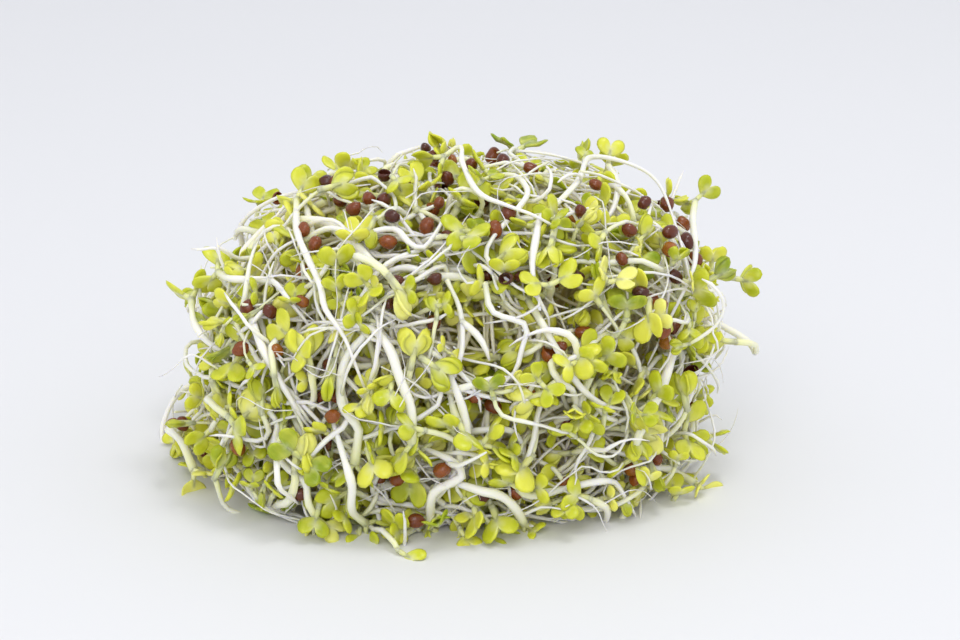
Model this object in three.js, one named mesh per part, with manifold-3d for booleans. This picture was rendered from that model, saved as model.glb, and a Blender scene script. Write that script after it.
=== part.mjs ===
// A loose handful of spigarello sprouts, cut at the seed-leaf stage and heaped on a table.
// Every sprout is one solid: a tapering stem with its root, and the pair of two-lobed seed
// leaves at the top. Empty brown seed hulls lie between them.
// Millimetres, +Z up, -Y towards the viewer. The heap stands on Z = 0, centred on X = Y = 0.
import * as THREE from "three";
import { mergeVertices } from "three/addons/utils/BufferGeometryUtils.js";
import Module from "manifold-3d";

const wasm = await Module();
wasm.setup();

// ---- driving dimensions ----
const HEAP = { halfWidth: 35.5, halfDepth: 27, height: 42, planPower: 2.2, risePower: 4 };
const SLANT = { foot: -2.4, lean: 6 };
const WAIST = { height: 14, spread: 4.5, cut: 0.1 };
const UNDERSIDE = { height: 8, cut: 0.35 };
const UPRIGHT = { height: 44, planPower: 2.6, risePower: 3.8 };
const VIEW = { elevation: THREE.MathUtils.degToRad(19), nearest: 15, furthest: 35, step: 0.25 };
const STEM = { sides: 5, step: 3.4, neck: 0.5, root: 0.22, rootFrom: 0.5 };
const LEAF = { width: 3.7, length: 3.0, notch: 1.0, thickness: 0.45, stalk: 1.2 };
const HULL = { radius: 1.0, around: 8, down: 5 };
const WANDER = { points: 13, stride: 0.13, turn: 1.3, lowest: 0.03, under: 1.5, depth: 2 };
const RISING = { points: 8, stride: 3, turn: 2, under: 6 };
const LAYING = { step: 0.2, furthest: 12, nearTable: 0.4 };

const sproutLook = new THREE.MeshStandardMaterial({ color: 0xd9e2a0, roughness: 0.45, metalness: 0 });
const hullLook = new THREE.MeshStandardMaterial({ color: 0x6e3418, roughness: 0.35, metalness: 0 });

// ---- the heap's outside ----

// How far out a point is: under 1 inside the heap, 1 on its outside. The heap leans to +X,
// has a waist at its sides, and draws in where it meets the table.
function outness({ x, y, z }) {
  const waist = 1 + WAIST.cut * Math.exp(-(((z - WAIST.height) / WAIST.spread) ** 2));
  const aside = Math.abs(x - SLANT.foot - (SLANT.lean * z) / HEAP.height) * waist;
  const plan = (aside / HEAP.halfWidth) ** HEAP.planPower + Math.abs(y / HEAP.halfDepth) ** HEAP.planPower;
  const under = UNDERSIDE.cut * Math.max(1 - z / UNDERSIDE.height, 0) ** 2;
  return plan + under + (Math.max(z, 0) / HEAP.height) ** HEAP.risePower;
}

// The point of the heap's outside that shows at a place across and up the front, then that
// far in. The place is read on an upright block, so it moves along the line of sight.
function onFront(x, z, inward = 0) {
  const { height, planPower, risePower } = UPRIGHT;
  const room = 1 - Math.abs(x / HEAP.halfWidth) ** planPower - (z / height) ** risePower;
  const upright = new THREE.Vector3(x, -HEAP.halfDepth * Math.max(room, 0) ** (1 / planPower), z);
  const sight = new THREE.Vector3(0, Math.cos(VIEW.elevation), -Math.sin(VIEW.elevation));
  let shown = upright.clone().addScaledVector(sight, -VIEW.nearest);
  for (let ahead = -VIEW.nearest; ahead < VIEW.furthest && outness(shown) > 1; ahead += VIEW.step) {
    const p = upright.clone().addScaledVector(sight, ahead);
    if (p.z > 0 && outness(p) < outness(shown)) shown = p;
  }
  return shown.add(new THREE.Vector3(0, inward, 0));
}

// The point of the heap's outside in a direction from the middle of its foot, then that far in.
function onOutside(azimuth, elevation, inward = 0) {
  const flat = Math.cos(elevation);
  const way = new THREE.Vector3(flat * Math.cos(azimuth), flat * Math.sin(azimuth), Math.sin(elevation));
  let near = 0;
  let far = 2 * HEAP.halfWidth;
  for (let halving = 0; halving < 30; halving++) {
    const middle = (near + far) / 2;
    if (outness(way.clone().multiplyScalar(middle)) < 1) near = middle;
    else far = middle;
  }
  return way.multiplyScalar(near - inward);
}

// ---- one sprout ----

// Repeatable random numbers from 0 to 1.
function randomNumbers(seed) {
  let state = seed >>> 0;
  return () => {
    state = (Math.imul(state, 1664525) + 1013904223) >>> 0;
    return state / 4294967296;
  };
}

// Turns a three.js geometry into a solid.
function solidOf(geometry) {
  const bare = geometry.clone();
  bare.deleteAttribute("normal");
  bare.deleteAttribute("uv");
  const merged = mergeVertices(bare, 1e-4);
  const vertProperties = new Float32Array(merged.attributes.position.array);
  const triVerts = new Uint32Array(merged.index.array);
  return new wasm.Manifold(new wasm.Mesh({ numProp: 3, vertProperties, triVerts }));
}

// A cylinder bent along the stem's line, thick at the leaves and thin at the root tip.
function stemGeometry(line, neck) {
  const length = line.getLength();
  const steps = Math.max(6, Math.round(length / STEM.step));
  const tube = new THREE.CylinderGeometry(1, 1, 1, STEM.sides, steps);
  const frames = line.computeFrenetFrames(steps, false);
  const place = tube.attributes.position;
  for (let i = 0; i < place.count; i++) {
    const along = 0.5 - place.getY(i);
    const ring = Math.round(along * steps);
    const thin = THREE.MathUtils.smoothstep(along, STEM.rootFrom, 1);
    const radius = THREE.MathUtils.lerp(neck, STEM.root, thin);
    const p = line.getPointAt(ring / steps);
    p.addScaledVector(frames.normals[ring], radius * place.getX(i));
    p.addScaledVector(frames.binormals[ring], radius * place.getZ(i));
    place.setXYZ(i, p.x, p.y, p.z);
  }
  return tube;
}

// A two-lobed blade on a short stalk, growing along +Y from the origin and flat in X.
function leafGeometry() {
  const half = LEAF.width / 2;
  const tip = LEAF.stalk + LEAF.length;
  const blade = new THREE.Shape();
  blade.moveTo(-0.35, 0);
  blade.lineTo(0.35, 0);
  blade.lineTo(0.4, LEAF.stalk);
  blade.bezierCurveTo(half * 1.3, LEAF.stalk + 0.4, half * 1.25, tip, half * 0.5, tip);
  blade.lineTo(0, tip - LEAF.notch);
  blade.lineTo(-half * 0.5, tip);
  blade.bezierCurveTo(-half * 1.25, tip, -half * 1.3, LEAF.stalk + 0.4, -0.4, LEAF.stalk);
  const solid = new THREE.ExtrudeGeometry(blade, {
    depth: LEAF.thickness,
    bevelEnabled: false,
    curveSegments: 3,
  });
  return solid.translate(0, 0, -LEAF.thickness / 2);
}

// The turned frame of a seed leaf at the top of the stem: roll turns the pair about the
// stem, and lean tips this leaf away from the stem's own direction.
function leafMatrix(top, way, roll, lean) {
  const side = new THREE.Vector3(0, 0, 1).cross(way);
  if (side.length() < 0.1) side.set(1, 0, 0);
  side.normalize().applyAxisAngle(way, roll);
  const up = way.clone().applyAxisAngle(side, lean);
  const face = side.clone().cross(up);
  return new THREE.Matrix4().makeBasis(side, up, face).setPosition(top);
}

// A whole sprout from the points of its line, leaf end first.
function sproutSolid({ points, neck = STEM.neck, roll = 0, lean = 0.7, size = 1 }) {
  const line = new THREE.CatmullRomCurve3(points);
  let sprout = solidOf(stemGeometry(line, neck));
  const top = line.getPointAt(0);
  const way = line.getTangentAt(0).negate();
  for (const turn of [lean, -lean]) {
    const leaf = leafGeometry().scale(size, size, 1);
    leaf.translate(0, -0.25, 0);
    leaf.applyMatrix4(leafMatrix(top, way, roll, turn));
    sprout = sprout.add(solidOf(leaf));
  }
  return sprout;
}

// ---- laying the pieces against each other ----

const laid = [];

function middleOf(solid) {
  const { min, max } = solid.boundingBox();
  return new THREE.Vector3(...min).add(new THREE.Vector3(...max)).divideScalar(2);
}

function boxesMeet(a, b) {
  return a.min.every((low, i) => low <= b.max[i]) && b.min.every((low, i) => low <= a.max[i]);
}

function overlapsLaid(solid) {
  const box = solid.boundingBox();
  return laid.some((other) => boxesMeet(box, other.box) && other.solid.intersect(solid).volume() > 0);
}

// The ways a piece may be pushed: in, out, down, up and to both sides.
function waysFor(middle) {
  const inward = new THREE.Vector3(-middle.x, -middle.y, 0).normalize();
  const down = new THREE.Vector3(0, 0, -1);
  const aside = inward.clone().cross(down);
  return [inward, down, aside].flatMap((way) => [way, way.clone().negate()]);
}

// Pushes a piece the shortest way that leaves it touching what is already there, and no more.
function settled(piece) {
  const ways = waysFor(middleOf(piece));
  const startsClear = !overlapsLaid(piece);
  for (let push = LAYING.step; push < LAYING.furthest; push += LAYING.step) {
    for (const way of ways) {
      const moved = piece.translate(way.clone().multiplyScalar(push).toArray());
      if (moved.boundingBox().min[2] < 0 || overlapsLaid(moved) !== startsClear) continue;
      const back = startsClear ? push - LAYING.step : push;
      return piece.translate(way.clone().multiplyScalar(back).toArray());
    }
  }
  return piece;
}

// Stands a piece that comes near the table on it, then brings it against the others.
function lay(name, look, solid) {
  const lowest = solid.boundingBox().min[2];
  const stood = lowest < LAYING.nearTable ? solid.translate([0, 0, -lowest]) : solid;
  const placed = laid.length > 0 ? settled(stood) : stood;
  laid.push({ name, look, solid: placed, box: placed.boundingBox() });
}

function meshOf({ name, look, solid }) {
  const made = solid.getMesh();
  const geometry = new THREE.BufferGeometry();
  geometry.setAttribute("position", new THREE.BufferAttribute(new Float32Array(made.vertProperties), 3));
  geometry.setIndex(new THREE.BufferAttribute(new Uint32Array(made.triVerts), 1));
  geometry.computeVertexNormals();
  const mesh = new THREE.Mesh(geometry, look);
  mesh.name = name;
  return mesh;
}

// ---- the sprouts of the front, read as seen: [across, up, in from the heap's front] ----
// The first point is the leaf end. What is behind comes first.
const FRONT = {
  s_stem: {
    neck: 0.56, roll: 0.3,
    places: [[-10, 12.5], [-9.6, 15.3], [-9.5, 16.8], [-11.3, 19.3], [-11.5, 22.8],
      [-10.6, 25.5], [-9, 27.3], [-7.4, 29, 1], [-4, 31, 4], [0, 33, 7]],
  },
  curved_pale: {
    neck: 0.6, roll: 1.2,
    places: [[-3.3, 15.2], [-3.4, 19.3], [-4.7, 23], [-5.8, 26.2], [-7.8, 28.3], [-11.8, 28.8],
      [-15, 28, 2], [-18, 25, 4]],
  },
  forked: {
    neck: 0.58, roll: 0.9,
    places: [[-5.1, 7], [-4.9, 8.1], [-6.2, 8.6], [-7.7, 8.4], [-9.4, 8.9], [-11.4, 12.4],
      [-12, 15.5], [-13.1, 19.7], [-14.3, 22.5], [-15, 26, 3]],
  },
  floor_stem: {
    neck: 0.5, roll: 0.2,
    places: [[-8, 1.5], [-9.3, 2.8], [-9.5, 4.2], [-9.3, 6.6], [-9.7, 8.2], [-10.8, 11, 2],
      [-12, 15, 4], [-11, 20, 6]],
  },
  drip: {
    neck: 0.54, roll: 1.5,
    places: [[-1.5, 3.2], [-1.4, 5.8], [-1.2, 7.5], [-0.3, 8.4], [1.3, 9.2], [2.4, 10.2],
      [1.4, 11.6], [-4, 13, 3], [-8, 14, 6]],
  },
  floor_pair: {
    neck: 0.45, roll: 0, lean: 1,
    places: [[-3.5, 1, -2], [-1, 1.4, 0], [4, 1.6, 3], [10, 2, 5], [16, 3, 6]],
  },
  low_pale: {
    neck: 0.52, roll: 0.8, lean: 0.35,
    places: [[9.3, 3.8], [8, 6.2], [6.4, 7.6], [4.3, 8.2], [2, 8.6, 1], [-2, 9, 4], [-7, 9, 7]],
  },
  long_level: {
    neck: 0.48, roll: 1.3, lean: 0.4,
    places: [[8.8, 12], [9.9, 11], [12.7, 11.3], [15.2, 11.7], [18.2, 12], [20.3, 11.6],
      [21.2, 10.2], [22.4, 8], [23.7, 5]],
  },
  straight_pale: {
    neck: 0.54, roll: 0.4,
    places: [[22.6, 18], [23.2, 20.5], [24.4, 22.7], [25.9, 25.3], [27.3, 28.5], [28.3, 31.5],
      [27, 35, 3], [23, 38, 6]],
  },
  right_arch: {
    neck: 0.36, roll: 0.6,
    places: [[9, 38, 3], [14, 41.5, 1], [17, 42.6], [20, 42.3], [22.8, 41.2], [24.8, 39],
      [26.2, 36], [27, 33.3], [28, 29, 2]],
  },
  crook: {
    neck: 0.42, roll: 0.2, lean: 0.3,
    places: [[12.4, 37.6], [12.7, 39.2], [12, 40], [11.1, 39.6], [10.4, 37.5], [10, 35.2],
      [10.5, 32, 1], [12, 28, 3], [9, 24, 5]],
  },
  zigzag_root: {
    neck: 0.34, roll: 0.8,
    places: [[6, 42, 4], [8.6, 42.4, 1], [10.2, 41.3], [9, 40], [5.7, 37], [5.3, 35.6],
      [8.6, 32.6], [11.6, 30.9], [9.4, 29.4], [5, 28, 2]],
  },
  top_root: {
    neck: 0.34, roll: 1,
    places: [[0, 42, 6], [1.9, 43.4, 1], [2.4, 42.4], [4.5, 40], [7.4, 39], [10.5, 38],
      [14, 36, 2], [18, 35, 5]],
  },
  level_root: {
    neck: 0.38, roll: 0.5,
    places: [[-17, 36, 3], [-13.6, 38.2], [-10.3, 37.8], [-5.9, 38.4], [-4, 37], [-2.6, 36.6],
      [-1, 38.2], [0.5, 40, 2], [4, 41, 6]],
  },
  thick_pale: {
    neck: 0.66, roll: 1.1,
    places: [[-18, 38, 5], [-14, 39.2, 1], [-10.4, 37.8], [-8, 36.1], [-6.4, 35], [-5.4, 33],
      [-3.6, 30.8], [0, 29, 3]],
  },
  level_pale: {
    neck: 0.5, roll: 0.3,
    places: [[4.5, 34, 1], [2, 35, 0.5], [-1.5, 35.3], [-3.4, 36], [-5.5, 35.9], [-8, 34, 2],
      [-12, 32, 5]],
  },
  left_arc: {
    neck: 0.34, roll: 0.9,
    places: [[-17, 31, 3], [-14.6, 33.5], [-12.9, 35.5], [-11.2, 35.8], [-9.7, 34.9],
      [-8.5, 33], [-8, 29, 2], [-6, 25, 4]],
  },
  shoulder: {
    neck: 0.45, roll: 0.6,
    places: [[-19.5, 40, 3], [-18.6, 37.8], [-17, 35.5], [-15.5, 33], [-15, 31], [-12.8, 28.2],
      [-11.4, 25], [-10, 20, 3], [-9, 16, 5]],
  },
  left_level: {
    neck: 0.42, roll: 0.4,
    places: [[-26.8, 31.5, 1], [-25, 31.6], [-21.2, 32.2], [-19.4, 32.2], [-17.6, 30.6],
      [-15, 27, 2], [-13, 22, 4]],
  },
  left_loop: {
    neck: 0.36, roll: 0.7,
    places: [[-28, 31, 3], [-31, 29.6], [-32.4, 28], [-32.4, 26], [-31, 23.5], [-28.6, 21.8],
      [-24, 20, 3]],
  },
  left_slant: {
    neck: 0.55, roll: 1.2,
    places: [[-23, 31, 3], [-21.5, 27.3], [-20, 24.3], [-18.6, 22], [-17, 19.5],
      [-15.4, 16.5, 1], [-12, 12, 4]],
  },
  left_bend: {
    neck: 0.45, roll: 0.9,
    places: [[-15.6, 5.4], [-16.4, 7.3], [-16.7, 9.7], [-19, 11.4], [-20.4, 13.8], [-20, 16.6],
      [-21.6, 18.8], [-21.6, 22], [-19, 26, 3]],
  },
  hooked: {
    neck: 0.5, roll: 0.2,
    places: [[4.6, 13.2], [2.6, 12.8], [2.9, 14.7], [2.6, 16.7], [1.4, 20.3], [0, 23, 1],
      [-3, 26, 3]],
  },
  low_arch: {
    neck: 0.36, roll: 1.2,
    places: [[1, 14, 2], [4.3, 15.7], [7.9, 15.7], [9.1, 14.7], [9.8, 12], [9.8, 9, 2],
      [8, 6, 4]],
  },
  thin_crook: {
    neck: 0.34, roll: 0.4,
    places: [[15, 20, 3], [12.6, 19.6], [11.6, 18.6], [10.8, 14.5], [9.6, 11.4], [7, 8.4, 1],
      [2, 6, 4]],
  },
  hairy_root: {
    neck: 0.46, roll: 1.1,
    places: [[10, 29, 4], [12.5, 25.5, 1], [13.9, 23.4], [15.8, 20.2], [18, 18], [20.6, 16.8],
      [24, 15, 3]],
  },
  top_right: {
    neck: 0.38, roll: 0.2, lean: 1,
    places: [[20.6, 41.4, 2], [21.2, 40, 3], [20.2, 38, 6], [17, 35, 8], [12, 31, 9]],
  },
  far_right: {
    neck: 0.42, roll: 0.9, lean: 1,
    places: [[31.2, 36.4, 0], [30.6, 34, 0], [29.6, 31, 0], [27, 27, 2], [24, 21, 4]],
  },
  top_left: {
    neck: 0.4, roll: 0.4, lean: 0.8,
    places: [[-20.6, 39.6, 1], [-19.8, 37.5, 3], [-18, 33, 6], [-14, 29, 8]],
  },
  left_tip: {
    neck: 0.42, roll: 1.4,
    places: [[-24, 31.6, 1], [-22.6, 29.6, 2], [-21, 26, 3], [-20, 20, 3], [-22, 15, 3]],
  },
  left_leaf: {
    neck: 0.42, roll: 1,
    places: [[-30.8, 27, 2], [-30, 24.5, 2], [-27, 22.5, 3], [-22, 21, 5]],
  },
  left_foot: {
    neck: 0.45, roll: 0.3, lean: 0.9,
    places: [[-35, 5], [-33, 6.5], [-30, 7.4, 1], [-25, 7, 2], [-18, 5, 4]],
  },
  right_foot: {
    neck: 0.45, roll: 0.9, lean: 0.9,
    places: [[31, 2], [29, 4], [26, 6], [21, 6, 2], [15, 5, 4]],
  },
};

// ---- the sprouts of the sides, back and top: [bearing, elevation, heading] in degrees ----
const AROUND = [
  [-15, 6, 40], [10, 22, 0], [30, 3, 10], [80, 14, 20], [130, 4, 30], [175, 8, 60],
  [200, 6, 120], [-14, 34, 20], [125, 38, 20], [50, 36, 20], [70, 66, 190],
];

// A line that wanders over the heap's outside.
function wanderingLine(seed, [bearing, elevation, heading]) {
  const random = randomNumbers(seed);
  const points = [];
  let azimuth = THREE.MathUtils.degToRad(bearing);
  let rise = THREE.MathUtils.degToRad(elevation);
  let course = THREE.MathUtils.degToRad(heading);
  for (let i = 0; i < WANDER.points; i++) {
    points.push(onOutside(azimuth, rise, WANDER.under + WANDER.depth * random()));
    course += WANDER.turn * (random() - 0.5);
    azimuth += (WANDER.stride * Math.cos(course)) / Math.max(Math.cos(rise), 0.3);
    rise = Math.max(rise + WANDER.stride * Math.sin(course), WANDER.lowest);
  }
  return points;
}

// ---- the sprouts inside, which carry the others: [across, back] of the root on the table ----
const INSIDE = [[-20, -4], [-7, 9], [3, -9], [-3, 8], [23, -3]];

// A line that leans its way from the top of the heap down to the table.
function risingLine(seed, [across, back]) {
  const random = randomNumbers(seed);
  const storey = (HEAP.height - RISING.under) / (RISING.points - 1);
  const foot = new THREE.Vector3(across, back, STEM.root);
  const points = [foot];
  let course = 2 * Math.PI * random();
  while (points.length < RISING.points) {
    course += RISING.turn * (random() - 0.5);
    const [east, north] = [RISING.stride * Math.cos(course), RISING.stride * Math.sin(course)];
    points.unshift(points[0].clone().add(new THREE.Vector3(east, north, storey)));
  }
  return points;
}

// ---- seed hulls: [across, up] on the front ----
const HULLS = [
  [-2, 38.5], [-6.3, 37], [-1, 28.6], [-13.6, 14], [6, 33], [12.4, 24.8], [18, 31], [25, 36],
  [22.5, 10.5], [8.5, 9], [-33.5, 2],
];

function numbered(name, i) {
  return name + String(i + 1).padStart(2, "0");
}

INSIDE.forEach((foot, i) => {
  const points = risingLine(i + 40, foot);
  lay(numbered("sprout_inside_", i), sproutLook, sproutSolid({ points, roll: i }));
});
for (const [name, sprout] of Object.entries(FRONT)) {
  const points = sprout.places.map(([x, z, inward]) => onFront(x, z, inward));
  lay("sprout_" + name, sproutLook, sproutSolid({ ...sprout, points }));
}
AROUND.forEach((start, i) => {
  const points = wanderingLine(i + 1, start);
  lay(numbered("sprout_around_", i), sproutLook, sproutSolid({ points, roll: i }));
});
HULLS.forEach(([x, z], i) => {
  const ball = new THREE.SphereGeometry(HULL.radius, HULL.around, HULL.down);
  const centre = onFront(x, z, HULL.radius);
  ball.translate(centre.x, centre.y, centre.z);
  lay(numbered("seed_hull_", i), hullLook, solidOf(ball));
});

const heap = new THREE.Group();
for (const piece of laid) heap.add(meshOf(piece));
const reach = new THREE.Box3().setFromObject(heap);
heap.position.set(-(reach.min.x + reach.max.x) / 2, -(reach.min.y + reach.max.y) / 2, -reach.min.z);

export default heap;
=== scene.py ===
"""The looks of a loose heap of spigarello sprouts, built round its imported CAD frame.

Every CAD sprout and hull gets a fine version in its own place, and the hundreds more that a real
heap holds are grown through the room between them. Lengths are in millimetres until a mesh is made.
"""
import collections
import functools
import math
import bpy
import numpy as np
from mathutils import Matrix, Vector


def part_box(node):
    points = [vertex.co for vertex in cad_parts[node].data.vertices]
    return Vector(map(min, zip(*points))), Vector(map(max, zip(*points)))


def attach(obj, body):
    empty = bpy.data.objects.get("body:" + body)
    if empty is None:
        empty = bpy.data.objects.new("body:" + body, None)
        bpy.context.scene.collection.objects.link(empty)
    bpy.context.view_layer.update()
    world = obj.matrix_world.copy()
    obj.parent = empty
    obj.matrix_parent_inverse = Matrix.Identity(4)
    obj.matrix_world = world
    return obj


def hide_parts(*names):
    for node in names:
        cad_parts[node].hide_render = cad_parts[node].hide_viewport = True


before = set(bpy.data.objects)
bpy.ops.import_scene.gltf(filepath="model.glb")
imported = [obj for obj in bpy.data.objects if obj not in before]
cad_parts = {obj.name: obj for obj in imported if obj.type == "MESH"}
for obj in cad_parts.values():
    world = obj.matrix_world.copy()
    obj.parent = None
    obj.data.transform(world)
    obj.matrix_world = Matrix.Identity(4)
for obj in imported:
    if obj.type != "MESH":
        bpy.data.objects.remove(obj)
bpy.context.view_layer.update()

MM = 0.001
CURVE_PARTS = 16
MAP_MARGIN = 0.04
UP = np.array([0.0, 0.0, 1.0])
RIGHT = np.array([1.0, 0.0, 0.0])

# ---- driving dimensions, as in the CAD source ----
HALF_WIDTH, HALF_DEPTH, HEIGHT = 35.5, 27.0, 42.0
FOOT_ASIDE, LEAN = -2.4, 6.0
WAIST_HEIGHT, WAIST_SPREAD, WAIST_CUT = 14.0, 4.5, 0.1
PLAN_POWER, RISE_POWER = 2.2, 4.0
UNDER_HEIGHT, UNDER_CUT = 8.0, 0.35
UPRIGHT_HEIGHT, UPRIGHT_PLAN, UPRIGHT_RISE = 44.0, 2.6, 3.8
ELEVATION = math.radians(19)
NEAREST, FURTHEST, SIGHT_STEP, HALVINGS = -15, 35, 0.25, 30
NECK, ROOT_END, PAIR_LEAN = 0.5, 0.22, 0.7
MULTIPLIER, INCREMENT, MODULUS = 1664525, 1013904223, 2**32
HULL_RADIUS = 1.0
WANDER_POINTS, WANDER_STRIDE, WANDER_TURN, WANDER_LOWEST = 13, 0.13, 1.3, 0.03
WANDER_UNDER, WANDER_DEPTH = 1.5, 2.0
RISING_POINTS, RISING_STRIDE, RISING_TURN, RISING_UNDER = 8, 3.0, 2.0, 6.0
# The frame stands centred on its box, which puts the heap's own middle here.
MIDDLE = np.array([1.067, 0.821, 0.0])
HEART = MIDDLE + [0, 0, 18]

# ---- the fine seed leaf: right half of the blade from its base to the notch ----
HALF_BLADE = [(0, 0), (0.2, 0.02), (0.75, 0.28), (1.5, 0.72), (1.95, 1.45), (1.85, 2.2), (1.25, 2.7),
              (0.6, 2.55), (0.14, 2.0), (0, 1.62)]
BLADE_HEART = np.array([0.0, 1.15])
BLADE_LENGTH, BLADE_WIDTH = 2.8, 4.0
BLADE_THICKNESS = 0.42
BLADE_RINGS = (0.5, 0.86, 1.0)
# The stalk starts a little inside the stem and ends under the blade.
STALK_LENGTH, STALK_RADIUS, STALK_SUNK, STALK_UNDER, STALK_POINTS = 1.1, 0.34, 0.3, 1.0, 5
LOBE_ASIDE, LOBE_UP, LOBE_RADIUS = 1.0, 1.6, 0.85
# How far blades fold and curl, in open and in shut pairs, and their domes and waves.
FOLDS, CURLS = ((-0.1, 0.35), (0.3, 0.7)), ((-0.7, 0.3), (0.1, 0.6))
DOMES, MOST_WAVE, WAVES = (0.1, 0.35), 0.14, (2.6, 1.9)
CREASE_ROUND, CREASE_DEPTH = 0.08, 0.28
SHUT_LEAN, LEAF_SIZES = 0.35, (0.9, 1.08)
# How much paler the lower face and the midrib are, how wide the midrib is, and the blade's noise.
LOWER_PALER, MIDRIB_PALER, MIDRIB, BLADE_GRAIN = 0.12, 0.3, 0.3, [1.2, 0.35, 0]
# Points round a blade and round a stem, of the CAD's own sprouts and of the fill's.
FINE_BLADE, FILL_BLADE = 28, 20
FINE_SIDES, FILL_SIDES, HAIR_SIDES = 9, 6, 5
# How far noise is drawn out along a stem, and the room that its start is drawn from.
GRAIN_STRETCH, GRAIN_ROOM = 0.12, 50

# ---- the stem: how far along it thins, and how green it is below its leaves ----
THINS_FROM, THINS_OVER = 0.35, 0.5
SWELLS, SWELL, TIP_FROM, TIP = 14, 0.09, 0.93, 0.4
ROOT, GREEN, GREEN_LENGTH = 0.16, 0.42, 3.0

# ---- the hull: a ball, or a cup that turns back in at its lip ----
HULL_TURNS, HULL_ROWS = 14, 9
HULL_SIDES = [1.1, 0.88, 0.94]
HULL_DIMPLE, HULL_WOBBLE, HULL_LIP = 0.22, 0.06, 0.15
SPLIT_CHANCE, SPLIT_LIP, SPLIT_END = 0.3, 0.6, 3.0
SPLIT_DOWN = np.array([2.8, 2.3, 1.8, 1.35, 1.05, 1.1, 1.5, 2.1, 2.7])
SPLIT_OUT = np.array([1, 1, 1, 1, 1, 0.88, 0.86, 0.86, 0.86])

# ---- how a stem grows: in steps, each the cheapest of a few ways to go on ----
STEP = 1.25
WAYS_TRIED, WAYS_SPREAD = 14, 0.2
CLEARANCE = 0.12
CRUSH_COST, ASTRAY_COST, SUNK_COST, BEND_COST = 3, 25, 4, 1.2
FIRST_CURL, LATER_CURL, CURL_CHANCE = 0.08, 0.14, 0.07
KINK_CHANCE, LEAST_KINK, MOST_KINK = 0.16, 0.4, 1.1
HOOKS, HOOKED_UNDER, HOOK_STEPS = [0, 0, 0.5, -0.55], 0.9, 5
DRIFT_STEPS, DRIFT_PULL = 10, 0.16
# A stem ends where it is this far past its rim, after its first few steps.
FREE_STEPS, LOST = 8, 0.1
# Above this height in the frame a stem is astray, wherever the rim is.
HIGHEST = 44.0

# ---- the fill ----
# What would sink into the table is pressed into a layer of this height.
PRESS_HEIGHT = 0.4
UNEVENNESS = 0.07
LUMPS, LUMPS_START = np.array([0.36, 0.42, 0.39]), np.array([1, 0, 0])
GROUPS = 8
# Leaf pairs read on the front: how far they lean when shut, half open and spread, how far back
# from the outside they lie, and how far their turn, in degrees, and roll may be off.
READ_SIZE, READ_TRIES, READ_RIM, READ_KEEP = 1.05, 16, 0.84, 0.5
READ_LEANS, READ_DEPTHS = ((0.1, 0.25), (0.45, 0.8), (0.95, 1.2)), (-1.4, 0.9)
TURN_DOUBT, ROLL_DOUBT = 9, 0.4
DRAWN_IN = 1.06
# Of each layer: how many pairs, the most and the least outness of their places, the rim and keep
# of their stems, and how straight they point outward.
LAYERS = [(34, 1.16, 1.0, 0.9, 0.5, 2.2), (420, 0.89, 0.78, 0.8, 0.45, 0.55),
          (210, 0.8, 0.56, 0.78, 0.3, 0.55), (60, 0.6, 0.05, 0.7, 0.0, 0.55)]
PLACE_LOW, PLACE_HIGH, PLACE_TRIES, CROWDED = [-1.15, -1, 0], [1.15, 1, 1], 8, 1.6
FOUND_SIZES, FOUND_LEANS, FOUND_LOWEST, FOUND_TURN = (0.7, 1.15), [0.15, 0.25, 0.5, 0.7, 1.0], 1.2, 0.85
LOBES_OUT, LOBES_PAST, PAST_COST = 0.97, 0.08, 30
NECKS, LENGTHS, ROOTS, RIMS = (0.2, 0.44), (30, 52), (0.12, 0.24), (0.93, 1.05)
LOOSE_RIM, LOOSE_CHANCE = 0.96, 0.25
HAIR_COUNT, HAIR_TIP = 260, 0.06
HAIR_RADII, HAIR_LENGTHS, HAIR_RIMS, HAIR_KEEP, HAIR_OUT = (0.07, 0.2), (8, 26), (0.95, 1.1), 0.75, 1.1
HAIR_FLATNESS = [1, 1, 0.4]
MORE_HULLS, HULL_TRIES, HULL_ROOM = 70, 10, 0.9
HULL_RADII, HULL_CROWD, HULL_OUT = (0.8, 1.08), 1.2, 1.05

# ---- the view ----
SEES = np.array([0.0, math.cos(ELEVATION), -math.sin(ELEVATION)])
SEEN_UP = np.array([0.0, math.sin(ELEVATION), math.cos(ELEVATION)])
AIM = MIDDLE + [4.4, 0, 20.7]
EYE_DISTANCE, LENS = 300, 90
# Places of the lamps, and of the table's rows back and up, in metres.
LAMPS = [("overhead", (0.14, -0.04, 0.62), 0.16, 1.0), ("front", (-0.12, -0.60, 0.50), 0.35, 1.5)]
LAMPS_AIM = (0, 0, 0.02)
WORLD_COLOUR, WORLD_STRENGTH = (0.94, 0.96, 1.0, 1), 0.88
TABLE_ROWS = [(-1.2, 0.0), (0.25, 0.0), (0.45, 0.02), (0.62, 0.08), (0.75, 0.2), (0.82, 0.4), (0.84, 1.4)]
TABLE_SIDE = 1.6


# ---- the heap's outside ----

def outness(places):
    """How far out places in the frame are: under 1 inside the heap, 1 on its outside."""
    p = places - MIDDLE
    waist = 1 + WAIST_CUT * np.exp(-(((p[..., 2] - WAIST_HEIGHT) / WAIST_SPREAD) ** 2))
    aside = np.abs(p[..., 0] - FOOT_ASIDE - LEAN * p[..., 2] / HEIGHT) * waist
    plan = (aside / HALF_WIDTH) ** PLAN_POWER + np.abs(p[..., 1] / HALF_DEPTH) ** PLAN_POWER
    under = UNDER_CUT * np.maximum(1 - p[..., 2] / UNDER_HEIGHT, 0) ** 2
    return plan + under + (np.maximum(p[..., 2], 0) / HEIGHT) ** RISE_POWER


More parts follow.
